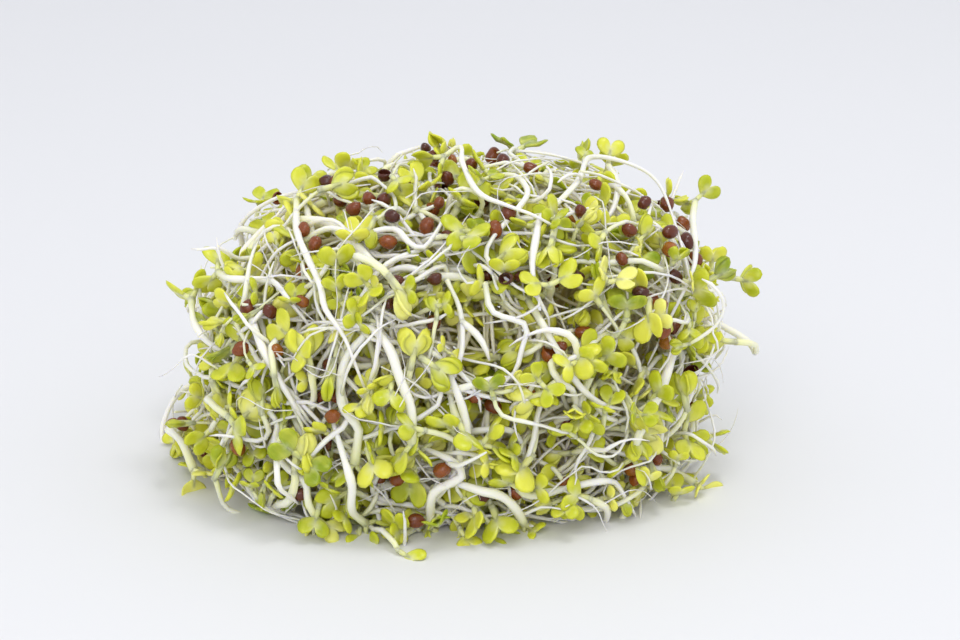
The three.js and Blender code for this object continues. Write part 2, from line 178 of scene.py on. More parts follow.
def fill_outness(places):
    """How far out places are from the fill's own outside, which has dents, hollows and lumps."""
    p = places - MIDDLE
    away = ((p[..., None, :] - DENTS[:, :3]) ** 2).sum(axis=-1) / DENTS[:, 3] ** 2
    lumps = UNEVENNESS * np.sin(LUMPS * p + LUMPS_START).prod(axis=-1)
    return outness(places) + lumps + (DENTS[:, 4] * np.exp(-away)).sum(axis=-1)


def outward(p):
    """The way straight out of the heap at a place."""
    offsets = np.eye(3) * 0.5
    return unit(outness(p + offsets) - outness(p - offsets))


def on_front(x, z, inward=0.0):
    """The point of the heap's outside that shows at a place across and up, then that far in."""
    room_left = 1 - abs(x / HALF_WIDTH) ** UPRIGHT_PLAN - (z / UPRIGHT_HEIGHT) ** UPRIGHT_RISE
    upright = np.array([x, -HALF_DEPTH * max(room_left, 0) ** (1 / UPRIGHT_PLAN), z]) + MIDDLE
    ahead = np.arange(NEAREST, FURTHEST, SIGHT_STEP)
    along = upright + ahead[:, None] * SEES
    along = along[along[:, 2] > 0]
    out = outness(along)
    inside = np.nonzero(out <= 1)[0]
    shown = along[inside[0] if len(inside) else np.argmin(out)]
    return shown + [0, inward, 0]


def on_outside(azimuth, elevation, inward=0.0):
    """The point of the heap's outside in a direction from the middle of its foot, then that far in."""
    flat = math.cos(elevation)
    way = np.array([flat * math.cos(azimuth), flat * math.sin(azimuth), math.sin(elevation)])
    near, far = 0.0, 2 * HALF_WIDTH
    for _ in range(HALVINGS):
        middle = (near + far) / 2
        if outness(MIDDLE + way * middle) < 1:
            near = middle
        else:
            far = middle
    return MIDDLE + way * (near - inward)


# ---- lines ----

def unit(v):
    return v / np.maximum(np.linalg.norm(v, axis=-1, keepdims=True), 1e-9)


def repeatable(seed):
    """The CAD source's own random numbers from 0 to 1."""
    state = seed
    while True:
        state = (state * MULTIPLIER + INCREMENT) % MODULUS
        yield state / MODULUS


def smooth_line(points, step=STEP):
    """A centripetal Catmull-Rom curve through the points, in even steps of about that length."""
    p = np.array(points, float)
    p = np.vstack([2 * p[0] - p[1], p, 2 * p[-1] - p[-2]])
    dense = []
    for a, b, c, d in zip(p, p[1:], p[2:], p[3:]):
        t0, t1, t2 = (max(np.linalg.norm(v), 1e-6) ** 0.5 for v in (b - a, c - b, d - c))
        m1 = ((b - a) / t0 - (c - a) / (t0 + t1) + (c - b) / t1) * t1
        m2 = ((c - b) / t1 - (d - b) / (t1 + t2) + (d - c) / t2) * t1
        t = np.linspace(0, 1, CURVE_PARTS, endpoint=False)[:, None]
        dense.append(b + m1 * t + (3 * (c - b) - 2 * m1 - m2) * t**2 + (2 * (b - c) + m1 + m2) * t**3)
    points = np.vstack(dense + [p[-2:-1]])
    along = distances(points)
    at = np.linspace(0, along[-1], max(int(round(along[-1] / step)), 4) + 1)
    return np.stack([np.interp(at, along, axis) for axis in points.T], axis=1)


def distances(line):
    """How far along a line each of its points is."""
    return np.concatenate([[0], np.cumsum(np.linalg.norm(np.diff(line, axis=0), axis=1))])


def carried_normals(line):
    """Tangents along a line, and normals carried along it without twist."""
    tangents = unit(np.gradient(line, axis=0))
    normal = np.cross(tangents[0], UP)
    if np.linalg.norm(normal) < 0.1:
        normal = np.cross(tangents[0], RIGHT)
    normals = []
    for tangent in tangents:
        normal = unit(normal - tangent * (normal @ tangent))
        normals.append(normal)
    return tangents, np.array(normals)


def turned(v, axis, angle):
    """v turned about an axis."""
    cos, sin = math.cos(angle), math.sin(angle)
    return v * cos + np.cross(axis, v) * sin + axis * (axis @ v) * (1 - cos)


# ---- mesh shells ----

def pressed(places):
    """The same places, with what would sink into the table pressed nearly flat on it."""
    z = places[:, 2]
    flat = PRESS_HEIGHT * np.exp(np.minimum(z / PRESS_HEIGHT - 1, 0))
    return np.column_stack([places[:, :2], np.where(z < PRESS_HEIGHT, flat, z)])


class Shells:
    """Closed shells gathered into one mesh, with the attributes that the materials read."""

    def __init__(self):
        self.places, self.tones, self.grains, self.faces = [], [], [], []
        self.count = 0

    def add(self, places, tone, grain, quads, tris, quad_map, tri_map):
        """tone is leafness, along and variety at each vertex, and grain the place that noise reads."""
        self.places.append(places)
        self.tones.append(tone)
        self.grains.append(grain)
        self.faces.append(((quads + self.count, quad_map), (tris + self.count, tri_map)))
        self.count += len(places)

    def mesh(self, name):
        """One mesh of all the shells, each in its own cell of the map."""
        columns = math.ceil(math.sqrt(len(self.faces)))
        corners, sizes, uv = [], [], []
        for i, kinds in enumerate(self.faces):
            cell = np.array([i % columns, i // columns], float)
            for faces, maps in kinds:
                corners.append(faces.ravel())
                sizes.append(np.full(len(faces), faces.shape[1]))
                uv.append((cell + MAP_MARGIN + (1 - 2 * MAP_MARGIN) * maps.reshape(-1, 2)) / columns)
        places = pressed(np.vstack(self.places)) * MM
        corners, sizes = (np.concatenate(part).astype(np.int32) for part in (corners, sizes))
        starts = (np.cumsum(sizes) - sizes).astype(np.int32)
        made = bpy.data.meshes.new(name)
        made.vertices.add(len(places))
        made.loops.add(len(corners))
        made.polygons.add(len(sizes))
        made.vertices.foreach_set("co", places.ravel())
        made.loops.foreach_set("vertex_index", corners)
        made.polygons.foreach_set("loop_start", starts)
        made.polygons.foreach_set("loop_total", sizes)
        made.update(calc_edges=True)
        made.polygons.foreach_set("use_smooth", np.ones(len(sizes), bool))
        # How deep each vertex lies in the heap; the sprout material paints shade with it.
        depth = np.clip(1 - outness(places / MM), 0, 1)
        for key, kind, field, values in (("tone", "FLOAT_VECTOR", "vector", np.vstack(self.tones)),
                                         ("grain", "FLOAT_VECTOR", "vector", np.vstack(self.grains)),
                                         ("depth", "FLOAT", "value", depth)):
            layer = made.attributes.new(key, kind, "POINT")
            layer.data.foreach_set(field, values.astype(np.float32).ravel())
        made.uv_layers.new(name="OFBake").data.foreach_set("uv", np.vstack(uv).astype(np.float32).ravel())
        made.validate()
        return made


def closed_grid(rows, columns):
    """The quads and triangles of a grid closed by a vertex at both ends, and the maps of both."""
    i, j = (k.ravel() for k in np.meshgrid(np.arange(rows - 1), np.arange(columns), indexing="ij"))
    following = (j + 1) % columns
    quads = np.stack([(i + 1) * columns + j, (i + 1) * columns + following, i * columns + following,
                      i * columns + j], axis=1)
    corners = [(i + 1, j), (i + 1, j + 1), (i, j + 1), (i, j)]
    quad_map = np.stack([np.stack([a / (rows - 1), b / columns], 1) for a, b in corners], 1)
    j = np.arange(columns)
    following = (j + 1) % columns
    pole, far = np.full(columns, rows * columns), (rows - 1) * columns
    tris = np.vstack([np.stack([j, following, pole], 1), np.stack([far + following, far + j, pole + 1], 1)])
    ends = np.column_stack([np.repeat([0.0, 1.0], columns), np.tile(j / columns, 2)])
    return quads, tris, quad_map, np.stack([ends, ends, ends], 1)


def tube(shells, line, radii, sides, tone, rng):
    """A closed tube along a line. Its ends draw in to a point."""
    tangents, normals = carried_normals(line)
    binormals = np.cross(tangents, normals)
    rows = len(line)
    turn = np.linspace(0, 2 * math.pi, sides, endpoint=False)
    round_way = (normals[:, None] * np.cos(turn)[None, :, None]
                 + binormals[:, None] * np.sin(turn)[None, :, None])
    rings = line[:, None] + round_way * radii[:, None, None]
    first = line[0] - tangents[0] * radii[0] * 0.5
    last = line[-1] + tangents[-1] * radii[-1] * 0.5
    places = np.vstack([rings.reshape(-1, 3), first, last])
    ring = np.stack([np.cos(turn), np.sin(turn), np.zeros(sides)], 1)
    grain = ring + distances(line)[:, None, None] * [0, 0, GRAIN_STRETCH]
    grain = np.vstack([grain.reshape(-1, 3), np.zeros((2, 3))])
    full_tone = np.vstack([np.repeat(tone, sides, axis=0), tone[:1], tone[-1:]])
    shells.add(places, full_tone, grain + rng.uniform(0, GRAIN_ROOM, 3), *closed_grid(rows, sides))


# ---- one sprout ----

@functools.cache
def blade(count):
    """The flat rings of a blade, with that many points round each, from the base round to the base."""
    half = smooth_line(HALF_BLADE, 0.05)
    half = half[np.linspace(0, len(half) - 1, count // 2 + 1).round().astype(int)]
    outline = np.vstack([half, (half * [-1, 1])[-2:0:-1]])
    return np.array([BLADE_HEART + (outline - BLADE_HEART) * share for share in BLADE_RINGS])


class Form:
    """How one blade is bent: folded along its midrib, its lobes domed, its tip curled, its edge waved."""

    def __init__(self, shut, rng):
        self.fold = rng.uniform(*FOLDS[shut])
        self.dome = rng.uniform(*DOMES)
        self.curl = rng.uniform(*CURLS[shut])
        self.wave = rng.uniform(0, MOST_WAVE)
        self.phase = rng.uniform(0, 6.3)

    def shaped(self, flat, height):
        """Places of a flat blade's points, that far off its middle layer."""
        x, y = flat[..., 0], flat[..., 1]
        lobe = 1 - ((np.abs(x) - LOBE_ASIDE) ** 2 + (y - LOBE_UP) ** 2) / 1.5
        crease = np.sqrt(x**2 + CREASE_ROUND) - CREASE_DEPTH
        ripple = np.sin(WAVES[0] * x + WAVES[1] * y + self.phase) * np.clip(y - 0.6, 0, 1)
        lift = (self.fold * crease + self.curl * (y / BLADE_LENGTH) ** 2
                - self.dome * np.clip(lobe, 0, None) + self.wave * ripple)
        narrow = 1 / math.sqrt(1 + self.fold**2)
        return np.stack([x * narrow, y + STALK_LENGTH, lift + height], axis=-1)


def leaf(shells, pair, lean, count, rng):
    """One leaf of a pair: a blade with that many points round it, on its stalk."""
    size = pair.size * rng.uniform(*LEAF_SIZES)
    form = Form(int(pair.lean < SHUT_LEAN), rng)
    ways = leaf_ways(pair.way, pair.side, lean)
    flat = blade(count)
    thick = np.array([[BLADE_THICKNESS * 0.5 * math.sqrt(1 - share**8)] for share in BLADE_RINGS])
    spread = np.concatenate([flat, flat[-2::-1]])
    body = form.shaped(spread, np.concatenate([thick, -thick[-2::-1]]))
    rows = len(body)
    poles = np.stack([form.shaped(BLADE_HEART, side * BLADE_THICKNESS / 2) for side in (1, -1)])
    places = np.vstack([body.reshape(-1, 3), poles]) * size
    quads, tris, _, _ = closed_grid(rows, count)
    # The upper face takes the left half of the map and the lower the right half.
    spot = np.vstack([spread.reshape(-1, 2), BLADE_HEART, BLADE_HEART])
    is_lower = np.concatenate([np.repeat(np.arange(rows) >= len(flat), count), [False, True]])
    midrib = np.exp(-(spot[:, 0] / MIDRIB) ** 2)
    spot_map = (spot - [-BLADE_WIDTH / 2, 0]) / [2 * BLADE_WIDTH, BLADE_LENGTH]

    def mapped(faces):
        return spot_map[faces] + np.array([0.5, 0]) * is_lower[faces].any(axis=1)[:, None, None]

    leafness = 1 - LOWER_PALER * is_lower - MIDRIB_PALER * midrib
    along = np.clip(spot[:, 1] / BLADE_LENGTH, 0, 1)
    tone = np.stack([leafness, along, np.full(len(places), pair.variety)], 1)
    grain = places * BLADE_GRAIN + rng.uniform(0, GRAIN_ROOM, 3)
    shells.add(pair.top + places @ ways, tone, grain, quads, tris, mapped(quads), mapped(tris))
    rise = np.linspace(-STALK_SUNK, STALK_LENGTH + STALK_UNDER, STALK_POINTS)
    stalk = np.stack([rise * 0, rise, -0.04 * form.dome * rise], 1) * size
    share = np.linspace(0, 1, STALK_POINTS)
    tone = np.stack([GREEN + 0.35 * share, 0.1 * share, np.full(STALK_POINTS, pair.variety)], 1)
    radii = STALK_RADIUS * (1.05 - 0.5 * share**2) * size
    tube(shells, pair.top + stalk @ ways, radii, FILL_SIDES, tone, rng)


def leaf_ways(way, side, lean):
    """A leaf's side, up and inner-face ways. lean tips it away from the stem's own way."""
    up = way * math.cos(lean) + np.cross(side, way) * math.sin(lean)
    face = np.cross(side, up)
    return np.stack([-side, up, -face]) if lean > 0 else np.stack([side, up, face])


class Pair(collections.namedtuple("Pair", "top way side lean size variety")):
    """A pair of seed leaves: where its stalks start, its way, its side and how far it leans open."""

    def lobes(self):
        """The middles of the four lobes."""
        flat = np.array([[aside, STALK_LENGTH + LOBE_UP, 0] for aside in (-LOBE_ASIDE, LOBE_ASIDE)])
        leaves = [flat @ leaf_ways(self.way, self.side, lean) for lean in (self.lean, -self.lean)]
        return self.top + self.size * np.vstack(leaves)

    def take_room(self, shift=0):
        room.take(self.lobes() + shift, LOBE_RADIUS * self.size)


def grown_pair(shells, pair, count, rng):
    """Both leaves of a pair."""
    for lean in (pair.lean, -pair.lean):
        leaf(shells, pair, lean, count, rng)


def stem(shells, line, neck, variety, rng, sides, root=ROOT, green=GREEN):
    """A stem along a line that runs from the leaves to the root tip."""
    rows = len(line)
    share = np.linspace(0, 1, rows)
    thin = np.clip((share - THINS_FROM) / THINS_OVER, 0, 1)
    thin = thin * thin * (3 - 2 * thin)
    swell = np.interp(share, np.linspace(0, 1, SWELLS), rng.normal(size=SWELLS))
    radii = (neck + (min(root, neck) - neck) * thin) * (1 + SWELL * np.clip(swell, -2, 2))
    radii *= np.interp(share, [0, TIP_FROM, 1], [1, 1, TIP])
    tone = np.stack([green * np.exp(-share * rows * STEP / GREEN_LENGTH), share, np.full(rows, variety)], 1)
    tube(shells, line, radii, sides, tone, rng)


# ---- the room already taken ----

class Room:
    """Centre points and radii of everything laid so far, sorted into cells."""

    CELL, CELLS, HOLDS, MOST = 3.0, np.array([40, 34, 24]), 90, 90000
    LOW = np.array([-60.0, -50.0, -6.0])

    def __init__(self):
        self.spots = np.empty((self.MOST, 4))
        self.count = 0
        self.cells = np.full((*self.CELLS, self.HOLDS), -1, np.int32)
        self.held = np.zeros(self.CELLS, int)

    def cell(self, p):
        return tuple(np.clip((p - self.LOW) // self.CELL, 1, self.CELLS - 2).astype(int))

    def take(self, points, radii):
        for p, radius in zip(points, np.broadcast_to(radii, len(points))):
            cell = self.cell(p)
            if self.held[cell] < self.HOLDS:
                self.spots[self.count] = (*p, radius)
                self.cells[cell][self.held[cell]] = self.count
                self.held[cell] += 1
                self.count += 1

    def near(self, p):
        """Everything within a cell's width of a place, at least."""
        i, j, k = self.cell(p)
        found = self.cells[i - 1:i + 2, j - 1:j + 2, k - 1:k + 2].ravel()
        return self.spots[found[found >= 0]]

    def crush(self, points, radius):
        """How deep balls at the points would sink into what is there, summed, and into the table."""
        deep = np.clip(radius - points[:, 2], 0, None).sum()
        for p in points:
            spots = self.near(p)
            apart = np.linalg.norm(spots[:, :3] - p, axis=1) - spots[:, 3] - radius
            deep += np.clip(-apart, 0, None).sum()
        return deep


room = Room()


def grow(start, heading, length, radius, rng, rim, keep=0.0, drift=None, hook=0.0):
    """A line that grows from a leaf pair to a root tip, bending past what is already there.

    It tends to stay under the rim and above keep, in outness. drift is a way that it bends to
    after its hook, which turns the first few steps.
    """
    points = [start]
    heading = unit(heading)
    axis = unit(np.cross(heading, rng.normal(size=3)))
    curl = rng.uniform(0.0, FIRST_CURL)
    hooked = HOOK_STEPS if hook else 0
    for i in range(int(length / STEP)):
        if i < hooked:
            heading = turned(heading, axis, hook)
        else:
            if rng.uniform() < CURL_CHANCE:
                axis = unit(rng.normal(size=3))
                curl = rng.uniform(0.0, LATER_CURL)
            heading = unit(heading + curl * np.cross(axis, heading))
            if rng.uniform() < KINK_CHANCE:
                crosswise = unit(np.cross(heading, rng.normal(size=3)))
                heading = turned(heading, crosswise, rng.uniform(LEAST_KINK, MOST_KINK))
            if drift is not None and i < hooked + DRIFT_STEPS:
                heading = unit(heading + DRIFT_PULL * drift)
        ways = unit(heading + WAYS_SPREAD * rng.normal(size=(WAYS_TRIED, 3)))
        ends = points[-1] + STEP * ways
        spots = room.near(points[-1])
        gaps = np.linalg.norm(ends[:, None] - spots[None, :, :3], axis=2) - spots[:, 3] - radius
        crush = (np.clip(CLEARANCE - gaps, 0, None) ** 2).sum(axis=1)
        out = fill_outness(ends)
        astray = np.clip(out - rim, 0, None) + 0.5 * np.clip(keep - out, 0, None)
        astray += np.clip(ends[:, 2] - HIGHEST, 0, None)
        sunk = np.clip(radius - ends[:, 2], 0, None)
        bend = 1 - ways @ heading
        cost = CRUSH_COST * crush + ASTRAY_COST * astray + SUNK_COST * sunk + BEND_COST * bend
        best = np.argmin(cost)
        if i > FREE_STEPS and out[best] > rim + LOST:
            break
        heading = unit(heading + ways[best])
        points.append(ends[best])
    line = np.array(points)
    line[1:-1] = (line[:-2] + 4 * line[1:-1] + line[2:]) / 6
    line[:, 2] = np.maximum(line[:, 2], radius)
    return line


# ---- materials ----

class Nodes:
    """Adds nodes to a material and joins them by their sockets' names."""

    def __init__(self, name):
        self.material = bpy.data.materials.new(name)
        self.material.use_nodes = True
        self.tree = self.material.node_tree

    def add(self, kind, inputs=None, **settings):
        """A node of that kind, and its outputs."""
        node = self.tree.nodes.new(kind)
        for key, value in settings.items():
            setattr(node, key, value)
        for key, value in (inputs or {}).items():
            self.feed(node, key, value)
        return node, node.outputs

    def feed(self, node, key, value):
        if isinstance(value, bpy.types.NodeSocket):
            self.tree.links.new(value, node.inputs[key])
        else:
            node.inputs[key].default_value = value

    def attribute(self, name, output="Vector"):
        return self.add("ShaderNodeAttribute", attribute_name=name)[1][output]

    def tone(self):
        """Leafness, along and variety."""
        return self.add("ShaderNodeSeparateXYZ", {"Vector": self.attribute("tone")})[1]

    def noise(self, vector, scale, detail=2.0):
        inputs = {"Vector": vector, "Scale": scale, "Detail": detail}
        return self.add("ShaderNodeTexNoise", inputs)[1]["Fac"]

    def ramp(self, factor, stops):
        node, outputs = self.add("ShaderNodeValToRGB", {"Fac": factor})
        elements = node.color_ramp.elements
        while len(elements) < len(stops):
            elements.new(0.5)
        for element, (place, colour) in zip(elements, stops):
            element.position = place
            element.color = (*colour, 1)
        return outputs["Color"]

    def fade(self, factor, start, end, first=0):
        """From 0 to 1, or from 1 to 0 where first is 1, as the factor goes from start to end."""
        return self.ramp(factor, [(start, [first] * 3), (end, [1 - first] * 3)])

    def mix(self, factor, a, b, blend="MIX"):
        node, outputs = self.add("ShaderNodeMix", {0: factor}, data_type="RGBA", blend_type=blend)
        for key, colour in ((6, a), (7, b)):
            self.feed(node, key, (*colour, 1) if isinstance(colour, tuple) else colour)
        return outputs[2]

    def tinted(self, colour, share, most, tint):
        """The colour, with up to that much of the tint where share is 1."""
        part = self.add("ShaderNodeMath", {0: share, 1: most}, operation="MULTIPLY")[1][0]
        return self.mix(part, colour, tint)

    def bump(self, height, strength, distance):
        inputs = {"Height": height, "Strength": strength, "Distance": distance}
        return self.add("ShaderNodeBump", inputs)[1]["Normal"]

    def shaded(self, inputs):
        """The material, with its shader's inputs set."""
        for key, value in inputs.items():
            self.feed(self.tree.nodes["Principled BSDF"], key, value)
        return self.material


def sprout_material():
    m = Nodes("sprout_skin")
    leafness, along, variety = m.tone()
    grain = m.attribute("grain")
    streaks = m.noise(grain, 2.6, 3.0)
    stem_colour = m.ramp(along, [(0.0, (0.90, 0.92, 0.52)), (0.15, (0.95, 0.93, 0.80)),
                                 (0.5, (0.965, 0.93, 0.885)), (1.0, (0.93, 0.87, 0.80))])
    tint = m.ramp(variety, [(0.0, (0.88, 0.92, 0.52)), (0.35, (0.94, 0.92, 0.84)),
                            (0.75, (0.95, 0.88, 0.80)), (1.0, (0.94, 0.93, 0.74))])
    stem_colour = m.tinted(m.mix(0.35, stem_colour, tint), streaks, 0.25, (0.84, 0.80, 0.62))
    blade_colour = m.ramp(variety, [(0.0, (0.22, 0.31, 0.008)), (0.3, (0.40, 0.46, 0.012)),
                                    (0.6, (0.56, 0.60, 0.026)), (0.85, (0.74, 0.73, 0.08)),
                                    (1.0, (0.88, 0.84, 0.26))])
    patches = m.fade(m.noise(grain, 0.7, 3.0), 0.40, 0.68)
    blade_colour = m.tinted(blade_colour, patches, 0.4, (0.80, 0.78, 0.10))
    blade_colour = m.tinted(blade_colour, m.fade(along, 0.0, 0.5, 1), 0.4, (0.88, 0.88, 0.34))
    colour = m.mix(m.fade(leafness, 0.05, 0.88), stem_colour, blade_colour)
    # Painted shade: what lies deep in the heap is darkened and tinted olive, as light that has passed
    # through many leaves would be.
    deep = m.fade(m.attribute("depth", "Fac"), 0.15, 0.6)
    colour = m.mix(deep, colour, (0.92, 0.82, 0.50), "MULTIPLY")
    return m.shaded({"Base Color": colour, "Normal": m.bump(streaks, 0.3, 0.0001), "Roughness": 0.3,
                     "Specular IOR Level": 0.35, "Subsurface Weight": 0.5, "Subsurface Scale": 0.0012,
                     "Subsurface Radius": (1.0, 0.9, 0.35)})


def hull_material():
    m = Nodes("seed_hull_skin")
    variety = m.tone()[2]
    grain = m.attribute("grain")
    inputs = {"Vector": grain, "Scale": 4.5}
    net = m.add("ShaderNodeTexVoronoi", inputs, feature="DISTANCE_TO_EDGE")[1]["Distance"]
    colour = m.ramp(variety, [(0.0, (0.07, 0.014, 0.008)), (0.3, (0.17, 0.032, 0.009)),
                              (0.7, (0.33, 0.076, 0.010)), (1.0, (0.54, 0.20, 0.018))])
    colour = m.tinted(colour, m.noise(grain, 1.2), 0.5, (0.05, 0.015, 0.010))
    # The hull is darker along the net's grooves, where the bump sinks its surface.
    colour = m.tinted(colour, m.fade(net, 0.0, 0.12, 1), 0.4, (0.02, 0.008, 0.006))
    return m.shaded({"Base Color": colour, "Normal": m.bump(net, 0.35, 0.00012), "Roughness": 0.13,
                     "Specular IOR Level": 0.3, "Coat Weight": 0.35, "Coat Roughness": 0.06})


def table_material():
    m = Nodes("white_table")
    cloud = m.add("ShaderNodeTexNoise", {"Scale": 3.0})[1]["Fac"]
    colour = m.mix(cloud, (0.76, 0.76, 0.775), (0.78, 0.78, 0.795))
    return m.shaded({"Base Color": colour, "Roughness": 0.7})


# ---- the CAD sprouts' lines, repeated from the CAD source ----
# Stem radius, roll and lean of the leaf pair, then [across, up, in from the heap's front].
FRONT = {
    "s_stem": (0.56, 0.3, 0.7, [(-10, 12.5), (-9.6, 15.3), (-9.5, 16.8), (-11.3, 19.3),
      (-11.5, 22.8), (-10.6, 25.5), (-9, 27.3), (-7.4, 29, 1), (-4, 31, 4), (0, 33, 7)]),
    "curved_pale": (0.6, 1.2, 0.7, [(-3.3, 15.2), (-3.4, 19.3), (-4.7, 23), (-5.8, 26.2),
      (-7.8, 28.3), (-11.8, 28.8), (-15, 28, 2), (-18, 25, 4)]),
    "forked": (0.58, 0.9, 0.7, [(-5.1, 7), (-4.9, 8.1), (-6.2, 8.6), (-7.7, 8.4), (-9.4, 8.9),
      (-11.4, 12.4), (-12, 15.5), (-13.1, 19.7), (-14.3, 22.5), (-15, 26, 3)]),
    "floor_stem": (0.5, 0.2, 0.7, [(-8, 1.5), (-9.3, 2.8), (-9.5, 4.2), (-9.3, 6.6), (-9.7, 8.2),
      (-10.8, 11, 2), (-12, 15, 4), (-11, 20, 6)]),
    "drip": (0.54, 1.5, 0.7, [(-1.5, 3.2), (-1.4, 5.8), (-1.2, 7.5), (-0.3, 8.4), (1.3, 9.2),
      (2.4, 10.2), (1.4, 11.6), (-4, 13, 3), (-8, 14, 6)]),
    "floor_pair": (0.45, 0, 1, [(-3.5, 1, -2), (-1, 1.4, 0), (4, 1.6, 3), (10, 2, 5), (16, 3, 6)]),
    "low_pale": (0.52, 0.8, 0.35, [(9.3, 3.8), (8, 6.2), (6.4, 7.6), (4.3, 8.2), (2, 8.6, 1),
      (-2, 9, 4), (-7, 9, 7)]),
    "long_level": (0.48, 1.3, 0.4, [(8.8, 12), (9.9, 11), (12.7, 11.3), (15.2, 11.7), (18.2, 12),
      (20.3, 11.6), (21.2, 10.2), (22.4, 8), (23.7, 5)]),
    "straight_pale": (0.54, 0.4, 0.7, [(22.6, 18), (23.2, 20.5), (24.4, 22.7), (25.9, 25.3),
      (27.3, 28.5), (28.3, 31.5), (27, 35, 3), (23, 38, 6)]),
    "right_arch": (0.36, 0.6, 0.7, [(9, 38, 3), (14, 41.5, 1), (17, 42.6), (20, 42.3),
      (22.8, 41.2), (24.8, 39), (26.2, 36), (27, 33.3), (28, 29, 2)]),
    "crook": (0.42, 0.2, 0.3, [(12.4, 37.6), (12.7, 39.2), (12, 40), (11.1, 39.6), (10.4, 37.5),
      (10, 35.2), (10.5, 32, 1), (12, 28, 3), (9, 24, 5)]),
    "zigzag_root": (0.34, 0.8, 0.7, [(6, 42, 4), (8.6, 42.4, 1), (10.2, 41.3), (9, 40), (5.7, 37),
      (5.3, 35.6), (8.6, 32.6), (11.6, 30.9), (9.4, 29.4), (5, 28, 2)]),
    "top_root": (0.34, 1, 0.7, [(0, 42, 6), (1.9, 43.4, 1), (2.4, 42.4), (4.5, 40), (7.4, 39),
      (10.5, 38), (14, 36, 2), (18, 35, 5)]),
    "level_root": (0.38, 0.5, 0.7, [(-17, 36, 3), (-13.6, 38.2), (-10.3, 37.8), (-5.9, 38.4),
      (-4, 37), (-2.6, 36.6), (-1, 38.2), (0.5, 40, 2), (4, 41, 6)]),
    "thick_pale": (0.66, 1.1, 0.7, [(-18, 38, 5), (-14, 39.2, 1), (-10.4, 37.8), (-8, 36.1),
      (-6.4, 35), (-5.4, 33), (-3.6, 30.8), (0, 29, 3)]),
    "level_pale": (0.5, 0.3, 0.7, [(4.5, 34, 1), (2, 35, 0.5), (-1.5, 35.3), (-3.4, 36),
      (-5.5, 35.9), (-8, 34, 2), (-12, 32, 5)]),
    "left_arc": (0.34, 0.9, 0.7, [(-17, 31, 3), (-14.6, 33.5), (-12.9, 35.5), (-11.2, 35.8),
      (-9.7, 34.9), (-8.5, 33), (-8, 29, 2), (-6, 25, 4)]),
    "shoulder": (0.45, 0.6, 0.7, [(-19.5, 40, 3), (-18.6, 37.8), (-17, 35.5), (-15.5, 33),
      (-15, 31), (-12.8, 28.2), (-11.4, 25), (-10, 20, 3), (-9, 16, 5)]),
    "left_level": (0.42, 0.4, 0.7, [(-26.8, 31.5, 1), (-25, 31.6), (-21.2, 32.2), (-19.4, 32.2),
      (-17.6, 30.6), (-15, 27, 2), (-13, 22, 4)]),
    "left_loop": (0.36, 0.7, 0.7, [(-28, 31, 3), (-31, 29.6), (-32.4, 28), (-32.4, 26),
      (-31, 23.5), (-28.6, 21.8), (-24, 20, 3)]),
    "left_slant": (0.55, 1.2, 0.7, [(-23, 31, 3), (-21.5, 27.3), (-20, 24.3), (-18.6, 22),
      (-17, 19.5), (-15.4, 16.5, 1), (-12, 12, 4)]),
    "left_bend": (0.45, 0.9, 0.7, [(-15.6, 5.4), (-16.4, 7.3), (-16.7, 9.7), (-19, 11.4),
      (-20.4, 13.8), (-20, 16.6), (-21.6, 18.8), (-21.6, 22), (-19, 26, 3)]),
    "hooked": (0.5, 0.2, 0.7, [(4.6, 13.2), (2.6, 12.8), (2.9, 14.7), (2.6, 16.7), (1.4, 20.3),
      (0, 23, 1), (-3, 26, 3)]),
    "low_arch": (0.36, 1.2, 0.7, [(1, 14, 2), (4.3, 15.7), (7.9, 15.7), (9.1, 14.7), (9.8, 12),
      (9.8, 9, 2), (8, 6, 4)]),
    "thin_crook": (0.34, 0.4, 0.7, [(15, 20, 3), (12.6, 19.6), (11.6, 18.6), (10.8, 14.5),
      (9.6, 11.4), (7, 8.4, 1), (2, 6, 4)]),
    "hairy_root": (0.46, 1.1, 0.7, [(10, 29, 4), (12.5, 25.5, 1), (13.9, 23.4), (15.8, 20.2),
      (18, 18), (20.6, 16.8), (24, 15, 3)]),
    "top_right": (0.38, 0.2, 1, [(20.6, 41.4, 2), (21.2, 40, 3), (20.2, 38, 6), (17, 35, 8),
      (12, 31, 9)]),
    "far_right": (0.42, 0.9, 1, [(31.2, 36.4, 0), (30.6, 34, 0), (29.6, 31, 0), (27, 27, 2),
      (24, 21, 4)]),
    "top_left": (0.4, 0.4, 0.8, [(-20.6, 39.6, 1), (-19.8, 37.5, 3), (-18, 33, 6), (-14, 29, 8)]),
    "left_tip": (0.42, 1.4, 0.7, [(-24, 31.6, 1), (-22.6, 29.6, 2), (-21, 26, 3), (-20, 20, 3),
      (-22, 15, 3)]),
    "left_leaf": (0.42, 1, 0.7, [(-30.8, 27, 2), (-30, 24.5, 2), (-27, 22.5, 3), (-22, 21, 5)]),
    "left_foot": (0.45, 0.3, 0.9, [(-35, 5), (-33, 6.5), (-30, 7.4, 1), (-25, 7, 2), (-18, 5, 4)]),
    "right_foot": (0.45, 0.9, 0.9, [(31, 2), (29, 4), (26, 6), (21, 6, 2), (15, 5, 4)]),
}
# Bearing, elevation and heading of the sprouts of the sides, back and top, in degrees.
AROUND = [
    (-15, 6, 40), (10, 22, 0), (30, 3, 10), (80, 14, 20), (130, 4, 30), (175, 8, 60),
    (200, 6, 120), (-14, 34, 20), (125, 38, 20), (50, 36, 20), (70, 66, 190),
]
# Across and back of the root on the table.
INSIDE = [(-20, -4), (-7, 9), (3, -9), (-3, 8), (23, -3)]

